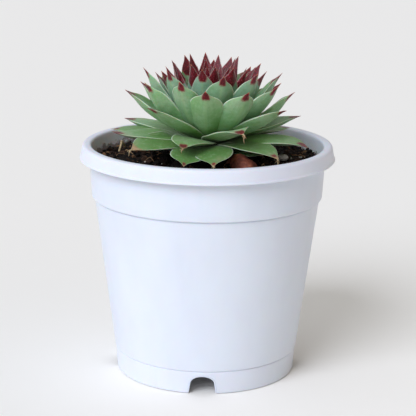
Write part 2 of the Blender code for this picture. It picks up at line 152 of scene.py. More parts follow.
# Tips of the upright leaves bend outwards by this much, in millimetres.
TIP_FLICK = ((0, 0.0), (14, 0.4), (20, 1.4), (30, 2.0), (45, 1.6), (60, 0.9), (83, 0.0))
STATIONS = 34
SECTION_STEPS = 12

# Leaves that stand a little off the rule: (degrees round, millimetres out, millimetres up) at the tip.
TIP_SHIFT = {0: (6.0, 0.0, 1.5), 2: (0.0, -15.0, 0.0), 3: (0.0, -15.0, 0.0), 5: (-1.0, -1.0, -1.7),
             8: (0.5, 1.0, 0.5), 10: (-0.5, 0.5, -3.2), 13: (-1.2, -3.8, -0.8), 15: (0.0, 2.7, -5.2),
             16: (1.0, 2.0, -2.6), 18: (1.4, -1.4, 0.0), 19: (1.8, 1.3, -8.0), 20: (0.0, -0.5, -1.0),
             21: (-1.3, -3.2, 2.4), 24: (2.0, -1.2, -0.8), 26: (-2.3, -1.0, 1.4), 28: (-1.6, 0.2, -1.5),
             29: (1.5, 0.4, 0.0), 31: (-3.9, 0.0, -0.6), 32: (0.0, -1.0, -6.0), 33: (0.0, 0.0, -3.0),
             34: (-1.9, 1.1, 0.0), 36: (-2.4, 2.1, -1.8), 37: (2.2, -0.4, 0.9), 39: (-1.0, -2.3, 1.2),
             40: (0.0, -2.0, -7.0), 41: (-1.6, 0.5, 0.0), 42: (1.1, 0.9, 0.0), 44: (-3.8, 2.0, 0.7),
             45: (0.0, -2.0, -6.0), 47: (-2.0, -1.9, -0.3), 49: (-4.3, 0.2, -1.8), 50: (0.0, 0.0, -3.0),
             53: (3.0, -1.0, -2.0), 54: (0.0, -1.0, -2.0), 56: (0.0, 0.5, 2.0), 57: (0.0, 0.0, -1.2),
             58: (0.0, 0.0, -1.5), 59: (0.0, 0.0, 2.4), 61: (0.0, 0.5, 2.4), 62: (0.0, 0.0, -1.2),
             64: (0.0, 0.5, 2.8), 67: (0.0, 0.0, 3.2), 69: (0.0, 0.0, 2.0)}
# Leaves that lie rolled to one side, in degrees; the left margin drops where it is positive.
LEAF_ROLL = {18: 5.0, 10: 3.0, 8: -17.0, 13: -8.0, 15: 6.0, 16: -5.0, 3: -8.0, 2: 6.0, 0: -6.0, 5: 4.0,
             21: -7.0, 23: 2.0, 24: -5.0, 20: 3.0}
# Old tips that have curled: (millimetres down, millimetres aside, twist in degrees).
TIP_CURL = {18: (2.4, 1.2, 10.0), 10: (1.8, 1.5, -2.0), 8: (1.0, -1.0, 0.0), 13: (1.8, 1.0, 4.0),
            15: (2.0, 1.0, 0.0), 0: (1.2, 0.5, 0.0), 5: (1.6, -0.6, 0.0), 23: (1.2, -1.5, 0.0),
            21: (1.0, -1.6, 0.0), 16: (-1.6, -1.0, 0.0)}
# Withered threads that hang from old tips: (length, thickness, millimetres aside) each.
TIP_THREAD = {18: (4.2, 0.34, 0.9), 10: (6.0, 0.26, -0.6), 8: (3.2, 0.4, -1.6), 13: (2.2, 0.3, -0.8),
              5: (1.6, 0.35, 0.4)}
# How far the tip has dried: (place where the dry part starts, 0 brown to 1 pale tan).
TIP_DRY = {18: (0.965, 0.9), 10: (0.93, 1.0), 8: (0.9, 0.7), 13: (0.94, 0.3), 15: (0.96, 0.2),
           0: (0.95, 0.5), 5: (0.945, 0.7), 29: (0.945, 0.8), 21: (0.95, 0.3), 16: (0.965, 0.4),
           3: (0.94, 0.6), 1: (0.93, 0.4), 2: (0.92, 0.8), 6: (0.93, 0.6), 11: (0.94, 0.5)}

CAMERA_TURN = 1.7           # the camera's azimuth in the part's frame
CAMERA_DOWN = 14.27
CAMERA_DISTANCE = 772.8
CAMERA_AIM_Z = 83.95
CAMERA_AIM_ASIDE = 0.57
CAMERA_ROLL = 0.61
CAMERA_LENS = 129.8
CAMERA_SENSOR = 36.0

SUN_TURN = -32.0            # the soft key light's azimuth, and its height above the horizon
SUN_HEIGHT = 38.0
SUN_SIZE = 36.0
SUN_STRENGTH = 1.93
SUN_COLOUR = (0.93, 0.98, 1.1)
SKY_STRENGTH = 0.575
SKY_LEFT = (1.23, 1.29, 1.38)
SKY_RIGHT = (0.44, 0.37, 0.28)
FLOOR_COLOUR = (0.99, 0.97, 0.925)
FLOOR_TONES = (0.935, 1.065)    # of that colour, to the left and right of the pot
FLOOR_HALF = 15.0               # metres
FLOOR_DROP = 0.0003             # metres under the pot, so that the two don't share a plane


# ---------------------------------------------------------------- shared rules

def held(value):
    """The value, kept between 0 and 1."""
    return min(1.0, max(0.0, value))


def between(pairs, at):
    for (low, first), (high, second) in zip(pairs, pairs[1:]):
        if at <= high:
            return first + (second - first) * max(0.0, at - low) / (high - low)
    return pairs[-1][1]


def smooth_between(pairs, at):
    """Values at many places on a smooth curve through (place, value) pairs, with no overshoot."""
    x = np.array([p[0] for p in pairs], float)
    y = np.array([p[1] for p in pairs], float)
    h = np.diff(x)
    d = np.diff(y) / h
    m = np.zeros_like(y)
    m[0], m[-1] = d[0], d[-1]
    same = d[:-1] * d[1:] > 0
    m[1:-1][same] = 2 * d[:-1][same] * d[1:][same] / (d[:-1] + d[1:])[same]
    at = np.clip(np.asarray(at, float), x[0], x[-1])
    i = np.clip(np.searchsorted(x, at, side="right") - 1, 0, len(h) - 1)
    t = (at - x[i]) / h[i]
    a = (1 + 2 * t) * (1 - t) ** 2
    b = t * (1 - t) ** 2
    c = t * t * (3 - 2 * t)
    e = t * t * (t - 1)
    return a * y[i] + b * h[i] * m[i] + c * y[i + 1] + e * h[i] * m[i + 1]


def skirt_foot_z():
    return POT_HEIGHT - RIM_SKIRT_HEIGHT


def wall_outline():
    band_radius = RIM_RADIUS - RIM_OVERHANG - BAND_TAPER
    band_foot = skirt_foot_z() - BAND_HEIGHT
    return [(band_radius + BAND_TAPER, skirt_foot_z()), (band_radius, band_foot),
            (band_radius - COLLAR_STEP, band_foot - COLLAR_STEP_HEIGHT),
            (FOOT_RADIUS + FOOT_BAND_FLARE + FOOT_STEP, FOOT_BAND_HEIGHT)]


def inner_outline():
    outline = [(radius - WALL, z) for radius, z in reversed(wall_outline())]
    outline[0] = (outline[0][0], FLOOR_UNDERSIDE_Z + FLOOR_THICKNESS)
    return outline


def inner_radius(z):
    return between([(height, radius) for radius, height in inner_outline()], z)


def soil_top_z():
    return POT_HEIGHT - HEADSPACE


def grown(percent):
    return percent / 100 * (inner_radius(soil_top_z()) - MOUTH_CLEARANCE)


def above_soil(percent):
    return soil_top_z() + grown(percent)


def soil_height(x, y):
    away = math.hypot(x, y) / inner_radius(soil_top_z())
    bumps = noise.noise(Vector((x, y, 4.0)) / 13.0) + 0.5 * noise.noise(Vector((x, y, 9.0)) / 5.0)
    return soil_top_z() + SOIL_MOUND * (1.0 - away * away) + SOIL_BUMP * bumps


def leaf_foot_z(leaf):
    return above_soil(between(((0, LOWEST_LEAF_HEIGHT), (LEAF_COUNT - 1, HIGHEST_LEAF_HEIGHT)), leaf))


def stem_radius(z):
    return grown(STEM_CROWN_RADIUS) - STEM_TAPER * max(0.0, z - leaf_foot_z(0))


def leaned(points, z):
    """Points turned by the rosette's lean, as far as it has built up at height z on the stem."""
    share = between(((leaf_foot_z(0), 0.0), (above_soil(LEAN_FULL_HEIGHT), 1.0)), z)
    towards = math.radians(LEAN_TOWARDS)
    axle = Vector((math.cos(towards), math.sin(towards), 0.0))
    turn = np.array(Matrix.Rotation(math.radians(LEAN * share), 3, axle))
    centre = np.array((0.0, 0.0, above_soil(FAN_CENTRE_HEIGHT)))
    return centre + (np.asarray(points) - centre) @ turn.T


def in_frame(x, y):
    """A place seen straight from the camera's side, turned into the part's frame."""
    turn = math.radians(CAMERA_TURN)
    return x * math.cos(turn) - y * math.sin(turn), x * math.sin(turn) + y * math.cos(turn)


# ---------------------------------------------------------------- mesh helpers

class Mesher:
    """Collects points, faces, a material index for each face and float values for each point."""

    def __init__(self, *names):
        self.points = []
        self.faces = []
        self.slots = []
        self.values = {name: [] for name in names}
        self.count = 0

    def add(self, points, faces, slot=0, **values):
        points = np.asarray(points, float)
        self.points.append(points)
        self.faces += [tuple(i + self.count for i in face) for face in faces]
        self.slots += [slot] * len(faces)
        for name, kept in self.values.items():
            given = values.get(name, 0.0)
            kept.append(np.broadcast_to(np.asarray(given, float), (len(points),)))
        self.count += len(points)

    def build(self, name, materials, smooth=True, sharp=None):
        mesh = bpy.data.meshes.new(name)
        mesh.from_pydata((np.concatenate(self.points) * MM).tolist(), [], self.faces)
        for made in materials:
            mesh.materials.append(made)
        mesh.polygons.foreach_set("material_index", self.slots)
        for key, kept in self.values.items():
            attribute = mesh.attributes.new(key, "FLOAT", "POINT")
            attribute.data.foreach_set("value", np.concatenate(kept).astype(np.float32))
        if smooth:
            mesh.shade_smooth()
        if sharp:
            mesh.set_sharp_from_angle(angle=math.radians(sharp))
        mesh.update()
        return placed(name, mesh)


def placed(name, data):
    """A new object in the scene that shows the data."""
    obj = bpy.data.objects.new(name, data)
    bpy.context.scene.collection.objects.link(obj)
    return obj


def face_outwards(obj):
    shape = bmesh.new()
    shape.from_mesh(obj.data)
    bmesh.ops.recalc_face_normals(shape, faces=shape.faces)
    shape.to_mesh(obj.data)
    shape.free()


def unit(way):
    return way / (np.linalg.norm(way) + 1e-9)


def wrapped(rows, count):
    """The faces of a closed skin over rows of points, each row a ring, with both ends capped."""
    faces = [tuple(reversed(range(count)))]
    for row in range(rows - 1):
        low = row * count
        for i in range(count):
            after = (i + 1) % count
            faces.append((low + i, low + after, low + count + after, low + count + i))
    faces.append(tuple(range((rows - 1) * count, rows * count)))
    return faces


def tube(path, radii, sides):
    """Points of a tube along a path, with a radius at each point, and its faces."""
    path = np.asarray(path, float)
    count = len(path)
    radii = np.broadcast_to(np.asarray(radii, float), (count,))
    points = []
    side = None
    for i in range(count):
        along = unit(path[min(i + 1, count - 1)] - path[max(i - 1, 0)])
        if side is None:
            other = (0.0, 0.0, 1.0) if abs(along[2]) < 0.9 else (1.0, 0.0, 0.0)
            side = np.cross(along, other)
        side = unit(side - along * np.dot(side, along))
        up = np.cross(along, side)
        for j in range(sides):
            angle = 2 * math.pi * j / sides
            points.append(path[i] + radii[i] * (side * math.cos(angle) + up * math.sin(angle)))
    return points, wrapped(count, sides)


# ---------------------------------------------------------------- shader helpers

# A Mix node keeps its colour sockets at these places.
MIX_COLOUR_A = 6
MIX_COLOUR_B = 7
MIX_COLOUR_RESULT = 2


class Shader:
    """A material's node tree, with short ways to add the nodes that the looks need."""

    def __init__(self, name):
        self.made = bpy.data.materials.new(name)
        self.made.use_nodes = True
        self.tree = self.made.node_tree
        self.nodes = self.tree.nodes
        self.skin = self.nodes["Principled BSDF"]

    def link(self, source, target):
        self.tree.links.new(source, target)

    def feed(self, socket, value):
        if isinstance(value, bpy.types.NodeSocket):
            self.link(value, socket)
        elif isinstance(value, (tuple, list)) and len(value) == 3 and socket.type == "RGBA":
            socket.default_value = (*value, 1.0)
        else:
            socket.default_value = value

    def place(self):
        return self.nodes.new("ShaderNodeTexCoord").outputs["Object"]

    def stretched(self, vector, scale):
        node = self.nodes.new("ShaderNodeMapping")
        self.link(vector, node.inputs["Vector"])
        node.inputs["Scale"].default_value = scale
        return node.outputs["Vector"]

    def attribute(self, name):
        node = self.nodes.new("ShaderNodeAttribute")
        node.attribute_name = name
        return node.outputs["Fac"]

    def maths(self, operation, a, b=0.0):
        node = self.nodes.new("ShaderNodeMath")
        node.operation = operation
        for socket, value in zip(node.inputs, (a, b)):
            self.feed(socket, value)
        return node.outputs["Value"]

    def times(self, a, b):
        return self.maths("MULTIPLY", a, b)

    def plus(self, a, b):
        return self.maths("ADD", a, b)

    def less(self, a, b):
        return self.maths("SUBTRACT", a, b)

    def parts(self, vector):
        node = self.nodes.new("ShaderNodeSeparateXYZ")
        self.link(vector, node.inputs["Vector"])
        return [node.outputs[axis] for axis in "XYZ"]

    def joined(self, x, y, z):
        node = self.nodes.new("ShaderNodeCombineXYZ")
        for axis, value in zip("XYZ", (x, y, z)):
            self.feed(node.inputs[axis], value)
        return node.outputs["Vector"]

    def noise(self, vector, scale, detail=3.0, rough=0.55):
        node = self.nodes.new("ShaderNodeTexNoise")
        self.link(vector, node.inputs["Vector"])
        node.inputs["Scale"].default_value = scale
        node.inputs["Detail"].default_value = detail
        node.inputs["Roughness"].default_value = rough
        return node.outputs["Fac"]

    def cells(self, vector, scale):
        node = self.nodes.new("ShaderNodeTexVoronoi")
        self.link(vector, node.inputs["Vector"])
        node.inputs["Scale"].default_value = scale
        return node.outputs["Distance"]

    def ramp(self, value, *stops):
        """(place, colour) stops; a single number is a grey."""
        node = self.nodes.new("ShaderNodeValToRGB")
        self.link(value, node.inputs["Fac"])
        elements = node.color_ramp.elements
        while len(elements) < len(stops):
            elements.new(0.5)
        for element, (at, colour) in zip(elements, stops):
            element.position = at
            grey = isinstance(colour, (int, float))
            element.color = (colour, colour, colour, 1.0) if grey else (*colour, 1.0)
        return node.outputs["Color"]

    def step(self, value, low, high):
        """0 below low, 1 above high, smooth between; the two may be swapped."""
        node = self.nodes.new("ShaderNodeMapRange")
        node.interpolation_type = "SMOOTHSTEP"
        self.feed(node.inputs["Value"], value)
        self.feed(node.inputs["From Min"], low)
        self.feed(node.inputs["From Max"], high)
        return node.outputs["Result"]

    def mix(self, share, a, b):
        node = self.nodes.new("ShaderNodeMix")
        node.data_type = "RGBA"
        self.feed(node.inputs["Factor"], share)
        self.feed(node.inputs[MIX_COLOUR_A], a)
        self.feed(node.inputs[MIX_COLOUR_B], b)
        return node.outputs[MIX_COLOUR_RESULT]

    def wash(self, colour, mask, strength, other):
        """The colour turned towards another where the mask is, by no more than the strength."""
        return self.mix(self.times(mask, strength), colour, other)

    def bump(self, height, distance, strength=1.0, after=None):
        node = self.nodes.new("ShaderNodeBump")
        node.inputs["Strength"].default_value = strength
        node.inputs["Distance"].default_value = distance
        self.link(height, node.inputs["Height"])
        if after is not None:
            self.link(after, node.inputs["Normal"])
        return node.outputs["Normal"]

    def finish(self, colour, roughness, normal=None, **plain):
        self.feed(self.skin.inputs["Base Color"], colour)
        self.feed(self.skin.inputs["Roughness"], roughness)
        if normal is not None:
            self.link(normal, self.skin.inputs["Normal"])
        for name, value in plain.items():
            self.skin.inputs[name.replace("_", " ")].default_value = value
        return self.made


def srgb(red, green, blue):
    """A colour of 0-255 screen values as the light values that shaders work with."""
    return tuple((c / 12.92 if c <= 0.04045 else ((c + 0.055) / 1.055) ** 2.4)
                 for c in (red / 255, green / 255, blue / 255))


# ---------------------------------------------------------------- materials

def leaf_skin():
    """A houseleek's skin: a waxy bloom over green, a pale margin, a maroon tip and old dry ends."""
    s = Shader("leaf_skin")
    place = s.place()
    along = s.attribute("leaf_along")
    aside = s.attribute("leaf_aside")
    upper = s.attribute("leaf_upper")
    age = s.attribute("leaf_age")
    dry_from = s.attribute("leaf_dry_from")
    dry_tone = s.attribute("leaf_dry_tone")
    chance = s.attribute("leaf_chance")

    broad = s.noise(place, 90.0, 3.0)
    fine = s.noise(place, 900.0, 3.0, 0.65)
    grain = s.noise(place, 3200.0, 2.0, 0.6)

    # Green from the shaded foot to the waxy upper half.
    sap = s.mix(s.step(broad, 0.35, 0.65), srgb(98, 156, 44), srgb(126, 178, 68))
    wax = s.mix(s.step(broad, 0.35, 0.65), srgb(130, 174, 114), srgb(152, 190, 144))
    bluish = s.mix(s.step(age, 0.3, 0.65), wax, srgb(140, 178, 156))
    height = s.plus(along, s.times(s.less(broad, 0.5), 0.25))
    old = s.step(age, 0.33, 0.12)
    sap_from = s.plus(0.06, s.times(old, 0.4))
    sap_to = s.plus(0.5, s.times(old, 0.85))
    sap = s.wash(sap, old, 0.85, srgb(76, 118, 34))
    green = s.mix(s.step(height, sap_from, sap_to), sap, bluish)
    # The upper faces are greyer than the backs.
    face = s.mix(s.step(broad, 0.4, 0.62), srgb(114, 160, 100), srgb(142, 180, 136))
    faced = s.times(upper, s.step(along, 0.25, 0.85))
    not_old = s.less(1.0, s.times(old, 0.85))
    green = s.mix(s.times(faced, not_old), green, face)
    oldest = s.step(age, 0.16, 0.05)
    green = s.wash(green, oldest, 0.45, srgb(76, 116, 40))
    # Each leaf is its own shade.
    green = s.mix(s.times(chance, 0.35), green, s.mix(0.5, green, srgb(96, 146, 84)))
    # Fine pale papillae and faint long veins.
    green = s.wash(green, s.step(fine, 0.52, 0.75), 0.22, srgb(176, 205, 176))
    veins = s.noise(s.joined(s.times(aside, 7.0), along, s.times(chance, 9.0)), 2.2, 2.0)
    green = s.wash(green, s.step(veins, 0.5, 0.8), 0.25, srgb(84, 130, 66))
    mottle = s.noise(place, 380.0, 3.0, 0.6)
    green = s.wash(green, s.step(mottle, 0.48, 0.7), 0.3, srgb(96, 142, 84))
    green = s.wash(green, s.step(mottle, 0.46, 0.3), 0.25, srgb(172, 204, 164))
    # The keel is a little paler.
    width = s.maths("ABSOLUTE", aside)
    keel = s.times(s.step(width, 0.16, 0.02), s.less(1.0, upper))
    green = s.wash(green, keel, 0.3, srgb(158, 190, 132))
    # A pinkish blush climbs towards the tip.
    blush = s.times(s.step(along, 0.62, 0.98), s.step(broad, 0.42, 0.7))
    green = s.wash(green, blush, 0.28, srgb(170, 120, 118))
    # The margin is thin enough to let light through.
    margin = s.step(s.plus(width, s.times(grain, 0.03)), 0.945, 0.995)
    green = s.wash(green, margin, 0.75, srgb(222, 232, 208))

    # The maroon tip starts lower on young leaves, and lower in its middle.
    tip_from = s.step(age, 0.5, 0.76)
    start = s.less(0.872, s.times(tip_from, 0.25))
    lower_inside = s.times(upper, s.step(age, 0.3, 0.6))
    start = s.less(start, s.times(lower_inside, 0.09))
    start = s.plus(start, s.times(s.step(age, 0.2, 0.06), 0.05))
    sag = s.times(s.step(width, 0.3, 1.0), 0.06)
    ragged = s.times(s.less(fine, 0.5), 0.05)
    level = s.less(s.plus(along, ragged), s.plus(start, sag))
    tip = s.step(level, -0.012, 0.022)
    red = s.mix(s.step(fine, 0.35, 0.7), srgb(78, 3, 17), srgb(130, 12, 32))
    streak_place = s.joined(s.times(aside, 4.0), s.times(along, 22.0), s.times(chance, 9.0))
    streaks = s.noise(streak_place, 1.7, 3.0, 0.6)
    # Pale pink streaks along the red tips are painted highlight.
    highlight_streaks = s.times(s.step(streaks, 0.56, 0.7), s.step(age, 0.35, 0.7))
    red = s.wash(red, highlight_streaks, 0.6, srgb(206, 118, 136))
    dark = s.times(s.step(streaks, 0.46, 0.34), s.step(age, 0.3, 0.6))
    red = s.wash(red, dark, 0.7, srgb(52, 2, 16))
    red = s.mix(s.step(level, 0.03, 0.0), red, srgb(140, 58, 60))
    red = s.wash(red, margin, 0.6, srgb(226, 170, 172))
    colour = s.mix(tip, green, red)
    point = s.step(along, 0.972, 0.992)
    colour = s.wash(colour, point, 0.8, srgb(196, 120, 84))

    # Withered ends.
    frayed = s.plus(along, s.times(ragged, 1.5))
    frayed = s.plus(frayed, s.times(s.times(width, width), 0.02))
    dried = s.step(frayed, dry_from, s.plus(dry_from, 0.04))
    husk = s.mix(dry_tone, srgb(98, 56, 36), srgb(196, 168, 128))
    husk = s.wash(husk, s.step(fine, 0.4, 0.7), 0.5, srgb(120, 84, 56))
    colour = s.mix(dried, colour, husk)

    rough = s.ramp(s.mix(tip, broad, s.times(broad, 0.6)), (0.2, 0.38), (0.7, 0.62))
    relief = s.bump(grain, 0.00012, 0.35)
    relief = s.bump(veins, 0.00035, 0.35, relief)
    relief = s.bump(broad, 0.0012, 0.35, relief)
    return s.finish(colour, rough, relief, Subsurface_Weight=0.2, Subsurface_Scale=0.003,
                    Specular_IOR_Level=0.45, Sheen_Weight=0.12, Sheen_Roughness=0.4)


def white_plastic():
    """Moulded polypropylene: a soft bluish white with faint flow marks, dust, soil smears and painted light
    on the inner wall.
    """
    s = Shader("moulded_white_plastic")
    place = s.place()
    x, y, height = s.parts(place)
    away = s.maths("SQRT", s.plus(s.times(x, x), s.times(y, y)))
    cloud = s.noise(s.stretched(place, (1.0, 1.0, 0.55)), 26.0, 3.0)
    flow = s.noise(s.stretched(place, (1.0, 1.0, 0.12)), 160.0, 2.0)
    speck = s.noise(place, 1500.0, 2.0)
    white = s.mix(s.step(cloud, 0.3, 0.7), srgb(224, 227, 238), srgb(230, 233, 243))
    white = s.wash(white, s.step(flow, 0.5, 0.8), 0.15, srgb(216, 219, 230))
    # Dust low on the foot, and soil rubbed along the inside over the soil line.
    foot = s.times(s.step(height, 0.016, 0.0), s.step(cloud, 0.35, 0.7))
    white = s.wash(white, foot, 0.15, srgb(190, 186, 178))
    inside = s.times(s.step(away, 0.0592, 0.0588), s.step(height, 0.100, 0.104))
    smear_noise = s.noise(s.stretched(place, (1.0, 1.0, 1.6)), 210.0, 4.0, 0.65)
    reach = s.plus(height, s.times(s.less(smear_noise, 0.5), 0.012))
    left = s.step(x, 0.01, -0.04)
    top = s.plus(0.1098, s.times(left, 0.0025))
    smear = s.times(s.step(reach, top, s.less(top, 0.0015)), inside)
    dirt = s.times(s.step(speck, 0.58, 0.66), s.times(inside, s.step(height, 0.117, 0.111)))
    # The inner wall is painted a lighter, bluer white than the outside: painted light.
    white = s.wash(white, inside, 0.9, srgb(242, 250, 255))
    white = s.wash(white, smear, 0.7, srgb(104, 88, 76))
    white = s.wash(white, dirt, 0.2, srgb(120, 104, 90))
    rough = s.ramp(s.mix(0.5, cloud, flow), (0.3, 0.34), (0.7, 0.5))
    relief = s.bump(speck, 0.00003, 0.4)
    relief = s.bump(flow, 0.00012, 0.3, relief)
    relief = s.bump(cloud, 0.0009, 0.25, relief)
    return s.finish(white, rough, relief, Subsurface_Weight=0.15, Subsurface_Scale=0.005,
                    Specular_IOR_Level=0.2)


def soil_material():
    """Peat and bark: each crumb has its own tone, with a fibrous grain."""
    s = Shader("peat_and_bark")
    place = s.place()
    tone = s.attribute("tone")
    fine = s.noise(place, 1300.0, 4.0, 0.7)
    broad = s.noise(place, 240.0, 4.0, 0.65)
    value = s.plus(tone, s.times(s.less(broad, 0.5), 0.35))
    colour = s.ramp(value, (0.0, srgb(13, 9, 7)), (0.22, srgb(28, 19, 14)), (0.45, srgb(68, 45, 31)),
                    (0.66, srgb(134, 98, 68)), (0.82, srgb(178, 148, 112)), (0.97, srgb(226, 222, 212)))
    colour = s.mix(s.times(s.step(fine, 0.4, 0.7), 0.45), colour,
                   s.mix(0.6, colour, srgb(12, 8, 6)))
    relief = s.bump(fine, 0.0005, 0.8)
    relief = s.bump(broad, 0.0012, 0.6, relief)
    rough = s.ramp(fine, (0.3, 0.75), (0.7, 0.98))
    return s.finish(colour, rough, relief, Specular_IOR_Level=0.3)


def dry_leaf_material():
    s = Shader("withered_skin")
    place = s.place()
    along = s.attribute("leaf_along")
    broad = s.noise(place, 260.0, 4.0, 0.65)
    fine = s.noise(s.stretched(place, (1.0, 0.4, 1.0)), 1500.0, 3.0, 0.6)
    colour = s.ramp(broad, (0.25, srgb(52, 24, 16)), (0.5, srgb(112, 52, 32)), (0.75, srgb(164, 96, 62)))
    colour = s.wash(colour, s.step(fine, 0.45, 0.75), 0.5, srgb(74, 34, 22))
    colour = s.wash(colour, s.step(along, 0.8, 1.0), 0.6, srgb(58, 34, 24))
    relief = s.bump(fine, 0.0004, 0.7)
    relief = s.bump(broad, 0.0012, 0.7, relief)
    return s.finish(colour, s.ramp(fine, (0.3, 0.55), (0.7, 0.85)), relief)


def straw_material():
    s = Shader("dry_straw")
    place = s.place()
    fibre = s.noise(s.stretched(place, (1.0, 0.2, 1.0)), 1600.0, 3.0)
    broad = s.noise(place, 200.0, 2.0)
    colour = s.ramp(fibre, (0.3, srgb(150, 122, 84)), (0.6, srgb(206, 184, 142)), (0.8, srgb(226, 210, 176)))
    colour = s.wash(colour, s.step(broad, 0.5, 0.75), 0.5, srgb(120, 92, 64))
    return s.finish(colour, s.ramp(broad, (0.3, 0.6), (0.7, 0.85)), s.bump(fibre, 0.0002, 0.7))


def grit_material():
    s = Shader("pale_grit_stone")
    place = s.place()
    broad = s.noise(place, 320.0, 4.0, 0.6)
    pits = s.cells(place, 1400.0)
    colour = s.ramp(broad, (0.3, srgb(150, 142, 128)), (0.55, srgb(196, 190, 178)),
                    (0.8, srgb(222, 218, 208)))
    colour = s.wash(colour, s.step(pits, 0.35, 0.1), 0.35, srgb(110, 98, 84))
    relief = s.bump(pits, 0.0003, 0.5)
    return s.finish(colour, s.ramp(broad, (0.3, 0.7), (0.7, 0.95)), s.bump(broad, 0.0008, 0.6, relief))


def stem_material():
    s = Shader("stem_skin")
    place = s.place()
    broad = s.noise(place, 300.0, 3.0)
    fine = s.noise(place, 1500.0, 3.0)
    colour = s.ramp(broad, (0.3, srgb(74, 86, 40)), (0.55, srgb(126, 132, 72)), (0.8, srgb(156, 140, 96)))
    relief = s.bump(fine, 0.0003, 0.6)
    return s.finish(colour, s.ramp(fine, (0.3, 0.6), (0.7, 0.85)), relief)


def floor_material():
    s = Shader("pale_floor")
    place = s.place()
    cloud = s.noise(place, 3.0, 2.0)
    x, y, _ = s.parts(place)
    # The floor's tone evens out the room's own fall-off from left to right, near the pot.
    near = s.step(y, 0.35, -0.1)
    side = s.step(x, -0.14, 0.14)
    left, right = [[tone * value for value in FLOOR_COLOUR] for tone in FLOOR_TONES]
    evened = s.mix(side, left, right)
    colour = s.mix(near, FLOOR_COLOUR, evened)
    colour = s.mix(s.times(cloud, 0.5), colour, [0.99 * value for value in FLOOR_COLOUR])
    return s.finish(colour, 0.9, None, Specular_IOR_Level=0.1)


# ---------------------------------------------------------------- pot

def filleted(corners):
    """(radius, z, round) corners as a finer outline, each corner rounded by its third value."""
    made = []
    count = len(corners)
    for i, (radius, z, size) in enumerate(corners):
        here = Vector((radius, z))
        if size == 0.0 or i in (0, count - 1):
            made.append((radius, z))
            continue
        before = Vector(corners[i - 1][:2]) - here
        after = Vector(corners[i + 1][:2]) - here
        reach = min(size, before.length * 0.49, after.length * 0.49)
        start = here + before.normalized() * reach
        end = here + after.normalized() * reach
        for j in range(5):
            t = j / 4
            spot = start * (1 - t) ** 2 + here * (2 * t * (1 - t)) + end * t * t
            made.append((spot.x, spot.y))
    return made


def divided(outline, longest):
    """The outline with points added so that no step is longer than given."""
    made = [outline[0]]
    for (r0, z0), (r1, z1) in zip(outline, outline[1:]):
        steps = max(1, math.ceil(math.hypot(r1 - r0, z1 - z0) / longest))
        made += [(r0 + (r1 - r0) * i / steps, z0 + (z1 - z0) * i / steps) for i in range(1, steps + 1)]
    return made


def pot_section():
    """The whole closed section of the wall, lip and floor, from the middle of the floor's top."""
    floor_top = FLOOR_UNDERSIDE_Z + FLOOR_THICKNESS
    crest_outer = RIM_RADIUS - RIM_SKIRT_FLARE
    crest_inner = crest_outer - 2 * LIP_ROUND - RIM_TOP_WIDTH
    foot = skirt_foot_z()
    inner = inner_outline()
    wall = wall_outline()
    corners = [(0.0, floor_top, 0.0), (inner[0][0], floor_top, 1.5)]
    corners += [(radius, z, 0.8) for radius, z in inner[1:3]]
    corners += [(inner[3][0], inner[3][1], 3.0),
                (crest_inner + 0.15, POT_HEIGHT, 1.5),
                (crest_outer, POT_HEIGHT, 1.5),
                (RIM_RADIUS - 0.42, foot + 2.3 * BEAD, 0.3),
                (RIM_RADIUS, foot + 1.5 * BEAD, 0.4),
                (RIM_RADIUS, foot + 0.3 * BEAD, 0.4),
                (RIM_RADIUS - 0.5, foot, 0.3),
                (RIM_RADIUS - WALL, foot + 0.3, 0.3),
                (crest_outer - WALL, POT_HEIGHT - WALL, 0.9),
                (wall[0][0] + 0.3, POT_HEIGHT - WALL, 0.9),
                (wall[0][0], wall[0][1], 0.6),
                (wall[1][0], wall[1][1], 0.2),
                (wall[1][0] - 0.25, wall[1][1] - 0.35, 0.1),
                (wall[2][0] - 0.25, wall[1][1] - 0.45, 0.05),
                (wall[2][0] - 0.25, wall[1][1] - 0.95, 0.1),
                (wall[2][0], wall[2][1], 0.2),
                (wall[3][0], wall[3][1], 0.1),
                (FOOT_RADIUS + 0.35, FOOT_BAND_HEIGHT - 0.1, 0.05),
                (FOOT_RADIUS + 0.35, FOOT_BAND_HEIGHT - 0.55, 0.05),
                (FOOT_RADIUS + FOOT_BAND_FLARE - 0.1, FOOT_BAND_HEIGHT - 0.8, 0.15),
                (FOOT_RADIUS, 0.0, 0.4),
                (FOOT_RADIUS - WALL, 0.0, 0.4),
                (FOOT_RADIUS - WALL, FLOOR_UNDERSIDE_Z, 1.2),
                (0.0, FLOOR_UNDERSIDE_Z, 0.0)]
    return divided(filleted(corners), 2.5)


def lathe(profile, segments):
    points = []
    rings = []
    for radius, z in profile:
        if radius < 1e-6:
            rings.append([len(points)] * segments)
            points.append((0.0, 0.0, z))
            continue
        rings.append(list(range(len(points), len(points) + segments)))
        for step in range(segments):
            angle = 2 * math.pi * step / segments
            points.append((radius * math.sin(angle), -radius * math.cos(angle), z))
    faces = []
    for lower, upper in zip(rings, rings[1:]):
        for step in range(segments):
            after = (step + 1) % segments
            corners = dict.fromkeys((lower[step], lower[after], upper[after], upper[step]))
            faces.append(tuple(corners))
    return points, faces


def notch_arch(margin=0.0, below=2.0, steps=28):
    """The notch's (x, z) outline from its right foot over the top to its left foot."""
    half = NOTCH_SHOULDER_WIDTH / 2 + margin
    rise = FLOOR_UNDERSIDE_Z - NOTCH_TOP_GAP - NOTCH_SHOULDER_Z + margin
    lean = (NOTCH_WIDTH - NOTCH_SHOULDER_WIDTH) / 2 / NOTCH_SHOULDER_Z
    rising = np.linspace(-below, NOTCH_SHOULDER_Z, 12)[:-1]
    sides = [(half + lean * (NOTCH_SHOULDER_Z - z), z) for z in rising]
    angles = np.linspace(0.0, math.pi, steps)
    top = [(half * math.cos(a), NOTCH_SHOULDER_Z + rise * math.sin(a)) for a in angles]
    return sides + top + [(-x, z) for x, z in reversed(sides)]


